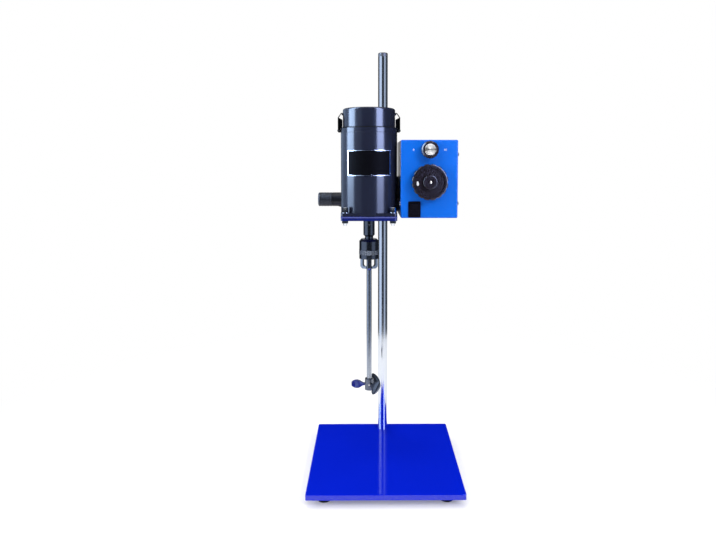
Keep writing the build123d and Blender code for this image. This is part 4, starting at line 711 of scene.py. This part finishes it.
# %% Dress the solids
own_finish = {
    "chuck_ring": ring_finish,
    "timer_knob_cap": cap_finish,
    "clamp_screw": screw_steel,
    "mounting_plate": plate_enamel,
    "chuck_arbor": chuck_steel,
    "chuck_body": chuck_steel,
    "chuck_face": chuck_steel,
    "propeller": propeller_steel,
    "switch_body": switch_black,
    "rocker": switch_black,
}
slot_of = {entry["node"]: entry["material_slot"] for entry in frame["record"]["subparts"]}
for name, solid in nodes.items():
    finish = own_finish[name] if name in own_finish else finishes[slot_of[name]]
    solid.data.materials.clear()
    solid.data.materials.append(finish)
metal_slots = {"chrome", "bright_steel", "sheet_steel", "fastener_steel", "bearing_steel", "brass"}
for name, solid in nodes.items():
    if name == "timer_knob_cap":
        cap_side.objects.link(solid)
    elif slot_of[name] in metal_slots or name == "controller_case":
        metal_side.objects.link(solid)
    else:
        paint_side.objects.link(solid)

# %% [markdown]
# ## Small pieces: how they are made
# The solids already have the shapes. What they lack is small and thin: the bright rim of the nameplate,
# the edge of the mounting plate, the seam of the cap, the lock nuts, the sides of the clips, the
# printed scale of the timer and the mark and screw of the large knob. Each is a small mesh made in code
# and set to ride on the body that carries it. Most are closed loops of the same few points, so one
# helper makes their faces. Sections are written in millimetres, as pairs of a distance out and a
# height.


# %% Piece helpers
sharp_angle = 35
merge_distance = 1e-6


def finish_piece(name, mesh, body, finish):
    """Links a mesh as a piece with a finish, and sets it on its body."""
    piece = bpy.data.objects.new(name, mesh)
    bpy.context.scene.collection.objects.link(piece)
    mesh.materials.clear()
    mesh.materials.append(finish)
    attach(piece, body)
    return piece


def in_mm(section, reach=0.0):
    """A section in metres, its distances counted from a reach."""
    return [(reach + out * mm, rise * mm) for out, rise in section]


def loop_faces(loops, count):
    """Faces between neighbouring loops of as many points each, the last loop joined to the first."""
    faces = []
    for loop in range(loops):
        following = (loop + 1) % loops
        for n in range(count):
            after = (n + 1) % count
            near, far = loop * count, following * count
            faces.append((near + n, far + n, far + after, near + after))
    return faces


def face_outwards(mesh, merge=False):
    """Turns a mesh's faces outwards, and joins points that lie in one place."""
    builder = bmesh.new()
    builder.from_mesh(mesh)
    if merge:
        bmesh.ops.remove_doubles(builder, verts=builder.verts, dist=merge_distance)
    bmesh.ops.recalc_face_normals(builder, faces=builder.faces)
    builder.to_mesh(mesh)
    builder.free()


def turned_mesh(name, profile, centre, axis, steps=64):
    """A closed mesh turned from a section about an axis: Z up, or Y to the back."""
    mesh = bpy.data.meshes.new(name)
    points = []
    for step in range(steps):
        angle = 2 * pi * step / steps
        for reach, rise in profile:
            if axis == "Z":
                points.append(Vector(centre) + Vector((reach * cos(angle), reach * sin(angle), rise)))
            else:
                points.append(Vector(centre) + Vector((reach * cos(angle), rise, reach * sin(angle))))
    mesh.from_pydata(points, [], loop_faces(steps, len(profile)))
    face_outwards(mesh, merge=True)
    for face in mesh.polygons:
        face.use_smooth = True
    mesh.set_sharp_from_angle(angle=radians(sharp_angle))
    return mesh


def print_text(name, words, place, height, body, thickness=0.00012):
    """Printed figures on a face that looks at the user, as a thin mesh."""
    curve = bpy.data.curves.new(name, "FONT")
    curve.body = words
    curve.size = height
    curve.extrude = thickness / 2
    curve.align_x = "CENTER"
    curve.align_y = "CENTER"
    helper = bpy.data.objects.new(name, curve)
    bpy.context.scene.collection.objects.link(helper)
    bpy.context.view_layer.update()
    mesh = bpy.data.meshes.new_from_object(helper)
    bpy.data.objects.remove(helper)
    mesh.transform(Matrix.Translation(place) @ Matrix.Rotation(radians(90), 4, "X"))
    return finish_piece(name, mesh, body, white_print)


print("helpers ready")

# %% [markdown]
# ## The nameplate's rim
# The photograph shows a black plate with a thin bright border, bowed round the motor. The plate is a
# solid already and stays bare. Its border is a raised strip that follows the same curve: a small
# section carried along the top, down the side, along the bottom and back up, always at the plate's own
# radius.

# %% Nameplate rim
plate_low, plate_high = (Vector(v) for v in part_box("nameplate"))
motor_axis = (middle("stirring_shaft").x, middle("stirring_shaft").y)
plate_reach = motor_axis[1] - plate_low.y
half_width = (plate_high.x - plate_low.x) / 2
plate_half_angle = atan2(half_width, (plate_reach**2 - half_width**2) ** 0.5)
rim_wide = 0.0011
rim_proud = 0.0003
rim_sunk = 0.0001


def rim_mesh(name, reach, half_angle, low, high, wide, proud, steps=36):
    """A closed border on a cylinder's face: outer and inner loops, in front and behind."""
    inner_half = half_angle - wide / reach

    def loop(half, bottom, top, out):
        points = []
        for step in range(steps + 1):
            angle = -half + 2 * half * step / steps
            points.append((angle, top, out))
        for step in range(steps + 1):
            angle = half - 2 * half * step / steps
            points.append((angle, bottom, out))
        return points

    loops = [
        loop(half_angle, low, high, reach - rim_sunk),
        loop(half_angle, low, high, reach + proud),
        loop(inner_half, low + wide, high - wide, reach + proud),
        loop(inner_half, low + wide, high - wide, reach - rim_sunk),
    ]
    points = []
    for ring in loops:
        for angle, z, out in ring:
            points.append((motor_axis[0] + out * sin(angle), motor_axis[1] - out * cos(angle), z))
    faces = [(a, d, c, b) for a, b, c, d in loop_faces(len(loops), len(loops[0]))]
    mesh = bpy.data.meshes.new(name)
    mesh.from_pydata(points, [], faces)
    return mesh


plate_span = (plate_low.z, plate_high.z)
rim = rim_mesh("nameplate_rim", plate_reach, plate_half_angle, *plate_span, rim_wide, rim_proud)
rim_piece = finish_piece("nameplate_rim", rim, "head", plate_rim)
paint_side.objects.link(rim_piece)
print("rim half angle", round(plate_half_angle * 180 / pi, 1))

# %% [markdown]
# ## The mounting plate's upper edge
# Under the motor the plate's upper edge shows as a lighter violet line, a highlight on its rounded
# corner. It is a slim rounded band that runs round the plate just under its top, standing a fraction of
# a millimetre proud of the sides, and its paint is a lighter copy of the plate's: a painted highlight.

# %% Plate edge
lip_low, lip_high = (Vector(v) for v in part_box("mounting_plate"))
lip_corner = 5.0 * mm
lip_section = [(-0.4, -0.9), (0.05, -3.2), (0.35, -2.4), (0.35, -1.4), (0.0, -0.85)]
corner_steps = 8
lip_outline = []
for corner_x, corner_y, turn in (
    (lip_high.x - lip_corner, lip_high.y - lip_corner, 0),
    (lip_low.x + lip_corner, lip_high.y - lip_corner, 90),
    (lip_low.x + lip_corner, lip_low.y + lip_corner, 180),
    (lip_high.x - lip_corner, lip_low.y + lip_corner, 270),
):
    for step in range(corner_steps + 1):
        angle = radians(turn + 90 * step / corner_steps)
        lip_outline.append((corner_x, corner_y, cos(angle), sin(angle)))
lip_points = []
for corner_x, corner_y, side_x, side_y in lip_outline:
    for out, down in lip_section:
        reach = lip_corner + out * mm
        lip_points.append((corner_x + reach * side_x, corner_y + reach * side_y, lip_high.z + down * mm))
lip_mesh = bpy.data.meshes.new("plate_lip")
lip_mesh.from_pydata(lip_points, [], loop_faces(len(lip_outline), len(lip_section)))
# The band's lighter paint is a painted highlight on the plate's edge.
finish_piece("plate_lip", lip_mesh, "head", plate_edge_painted_highlight)
print("plate edge", round(lip_high.z, 4))

# %% [markdown]
# ## The seam of the motor's cap
# Where the cap stands on the end shield the photograph shows a dark line, a lit rim under it and a
# finer line where the shield meets the housing. The dark line is painted shadow: a black ring in the
# rubber finish round the cap's foot stands for the shade in the seam. Two low beads, one on the shield's
# upper edge and one over the joint below, catch the light. All three are turned about the motor.

# %% Cap seam
shield_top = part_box("motor_cap")[0][2]
shield_reach = (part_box("upper_end_shield")[1][0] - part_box("upper_end_shield")[0][0]) / 2
cap_reach = (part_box("motor_cap")[1][1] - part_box("motor_cap")[0][1]) / 2
joint_drop = 8.5 * mm
seam_shadow_section = [(0.05, 0.05), (1.5, 0.05), (1.5, 1.5), (0.9, 2.0), (0.05, 2.0)]
rim_section = [(-1.6, 0.0), (-0.3, 0.5), (0.3, 0.1), (0.35, -0.5), (-0.1, -0.8)]
bead_section = [(-0.1, 0.7), (0.35, 0.35), (0.35, -0.35), (-0.1, -0.7)]
for ring_name, profile, level, finish_name in (
    # A black ring in the seam under the cap: painted shadow.
    ("cap_seam_painted_shadow", in_mm(seam_shadow_section, cap_reach), shield_top, "rubber"),
    ("shield_rim", in_mm(rim_section, shield_reach), shield_top, "slate_enamel"),
    ("joint_bead", in_mm(bead_section, shield_reach), shield_top - joint_drop, "slate_enamel"),
):
    ring_mesh = turned_mesh(ring_name, profile, (*motor_axis, level), "Z", steps=128)
    ring_piece = finish_piece(ring_name, ring_mesh, "head", finishes[finish_name])
    if finish_name == "slate_enamel":
        paint_side.objects.link(ring_piece)
print("seam at", round(shield_top, 4))

# %% [markdown]
# ## Lock nuts and the sides of the clips
# The nuts on the flange look tall in the photograph, as a nut with a lock nut on it does, so each stud
# gets a second, thinner hexagon over its end. The spring clips are channels whose sides reach in
# towards the cap, so a bent side plate stands at each side of a clip, and turns with it.

# %% Lock nuts and clip sides
nut_low, nut_high = (Vector(v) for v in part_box("mounting_nuts"))
nut_section = [(3.1, 0.05), (5.5, 0.05), (5.77, 0.4), (5.77, 3.3)]
nut_section += [(5.0, 3.9), (0.0, 3.9), (0.0, 2.9), (3.1, 2.9)]
nut_profile = in_mm(nut_section)
washer_half = 6.0 * mm
nut_number = 0
for nut_x in (nut_low.x + washer_half, nut_high.x - washer_half):
    for nut_y in (nut_low.y + washer_half, nut_high.y - washer_half):
        nut_number += 1
        nut_name = f"lock_nut_{nut_number}"
        nut_mesh = turned_mesh(nut_name, nut_profile, (nut_x, nut_y, nut_high.z), "Z", steps=6)
        nut_piece = finish_piece(nut_name, nut_mesh, "head", finishes["chrome"])
        metal_side.objects.link(nut_piece)

side_outline = [(0.9, -2.0), (0.9, 0.6), (-3.0, 1.6), (-3.0, 17.0), (3.4, 20.4), (3.4, -2.0)]
side_places = (-7.0, -5.8), (5.8, 7.0)
for side, clip_body in ((-1, "left_clip"), (1, "right_clip")):
    side_points, side_faces = [], []
    count = len(side_outline)
    for near, far in side_places:
        first = len(side_points)
        for depth in (near, far):
            for out, rise in side_outline:
                x = motor_axis[0] + side * (shield_reach + out * mm)
                side_points.append((x, motor_axis[1] + depth * mm, shield_top + rise * mm))
        side_faces.append(tuple(range(first, first + count)))
        side_faces.append(tuple(range(first + 2 * count - 1, first + count - 1, -1)))
        for n in range(count):
            after = (n + 1) % count
            side_faces.append((first + n, first + after, first + count + after, first + count + n))
    side_name = clip_body + "_sides"
    side_mesh = bpy.data.meshes.new(side_name)
    side_mesh.from_pydata(side_points, [], side_faces)
    face_outwards(side_mesh)
    sides = finish_piece(side_name, side_mesh, clip_body, finishes["sheet_steel"])
    metal_side.objects.link(sides)
print("lock nuts", nut_number, "clip sides", 2 * len(side_places))

# %% [markdown]
# ## The timer's scale
# Beside the timer knob the panel carries a small figure on the left and one on the right. Plain numbers
# of minutes stand there, printed on the panel in white.

# %% Timer scale
panel_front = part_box("controller_panel")[0][1]
timer_middle = middle("timer_knob")
print_lift = 0.00008
figure_reach = 0.0295
figure_height = 0.0052
for figure_name, words, aside in (("timer_zero", "0", -figure_reach), ("timer_full", "60", figure_reach)):
    figure_place = Vector((timer_middle.x + aside, panel_front - print_lift, timer_middle.z))
    print_text(figure_name, words, figure_place, figure_height, "head")
print("timer scale printed")

# %% [markdown]
# ## The large knob
# The knob's solid has its flutes, its dished front and its middle boss. On the real one a white mark is
# let into the rim at nine o'clock, and a bright screw sits in the boss. The mark is a small pill let
# into the dished face, and the screw's round head is turned.

# %% Large knob details
knob_low, knob_high = (Vector(v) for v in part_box("speed_knob"))
knob_middle = middle("speed_knob")
boss_front = knob_low.y
rim_front = boss_front + 5.0 * mm
mark_reach = 22.8 * mm
mark_sunk = 3.0 * mm
mark_drop = 2.5 * mm
mark_tilt = -6
mark_half = (2.2 * mm, 0.6 * mm, 4.2 * mm)
screw_proud = 0.35 * mm
mark_builder = bmesh.new()
mark_made = bmesh.ops.create_uvsphere(mark_builder, u_segments=24, v_segments=12, radius=1.0)
mark_centre = (knob_middle.x - mark_reach, rim_front + mark_sunk, knob_middle.z - mark_drop)
mark_place = Matrix.Translation(mark_centre)
mark_shape = Matrix.Rotation(radians(mark_tilt), 4, "Y") @ Matrix.Diagonal((*mark_half, 1))
bmesh.ops.transform(mark_builder, matrix=mark_place @ mark_shape, verts=mark_made["verts"])
mark_mesh = bpy.data.meshes.new("knob_mark")
mark_builder.to_mesh(mark_mesh)
mark_builder.free()
for face in mark_mesh.polygons:
    face.use_smooth = True
finish_piece("knob_mark", mark_mesh, "speed_control", white_print)

screw_section = [(0.0, 0.0), (1.7, 0.0), (2.3, 0.35), (2.4, 1.2), (0.0, 1.2)]
screw_place = Vector((knob_middle.x, boss_front - screw_proud, knob_middle.z))
screw_mesh = turned_mesh("knob_screw", in_mm(screw_section), screw_place, "Y", steps=40)
screw_finish = finishes["fastener_steel"]
screw_piece = finish_piece("knob_screw", screw_mesh, "speed_control", screw_finish)
cap_side.objects.link(screw_piece)
print("knob width", round((knob_high.x - knob_low.x) * 1000, 1))
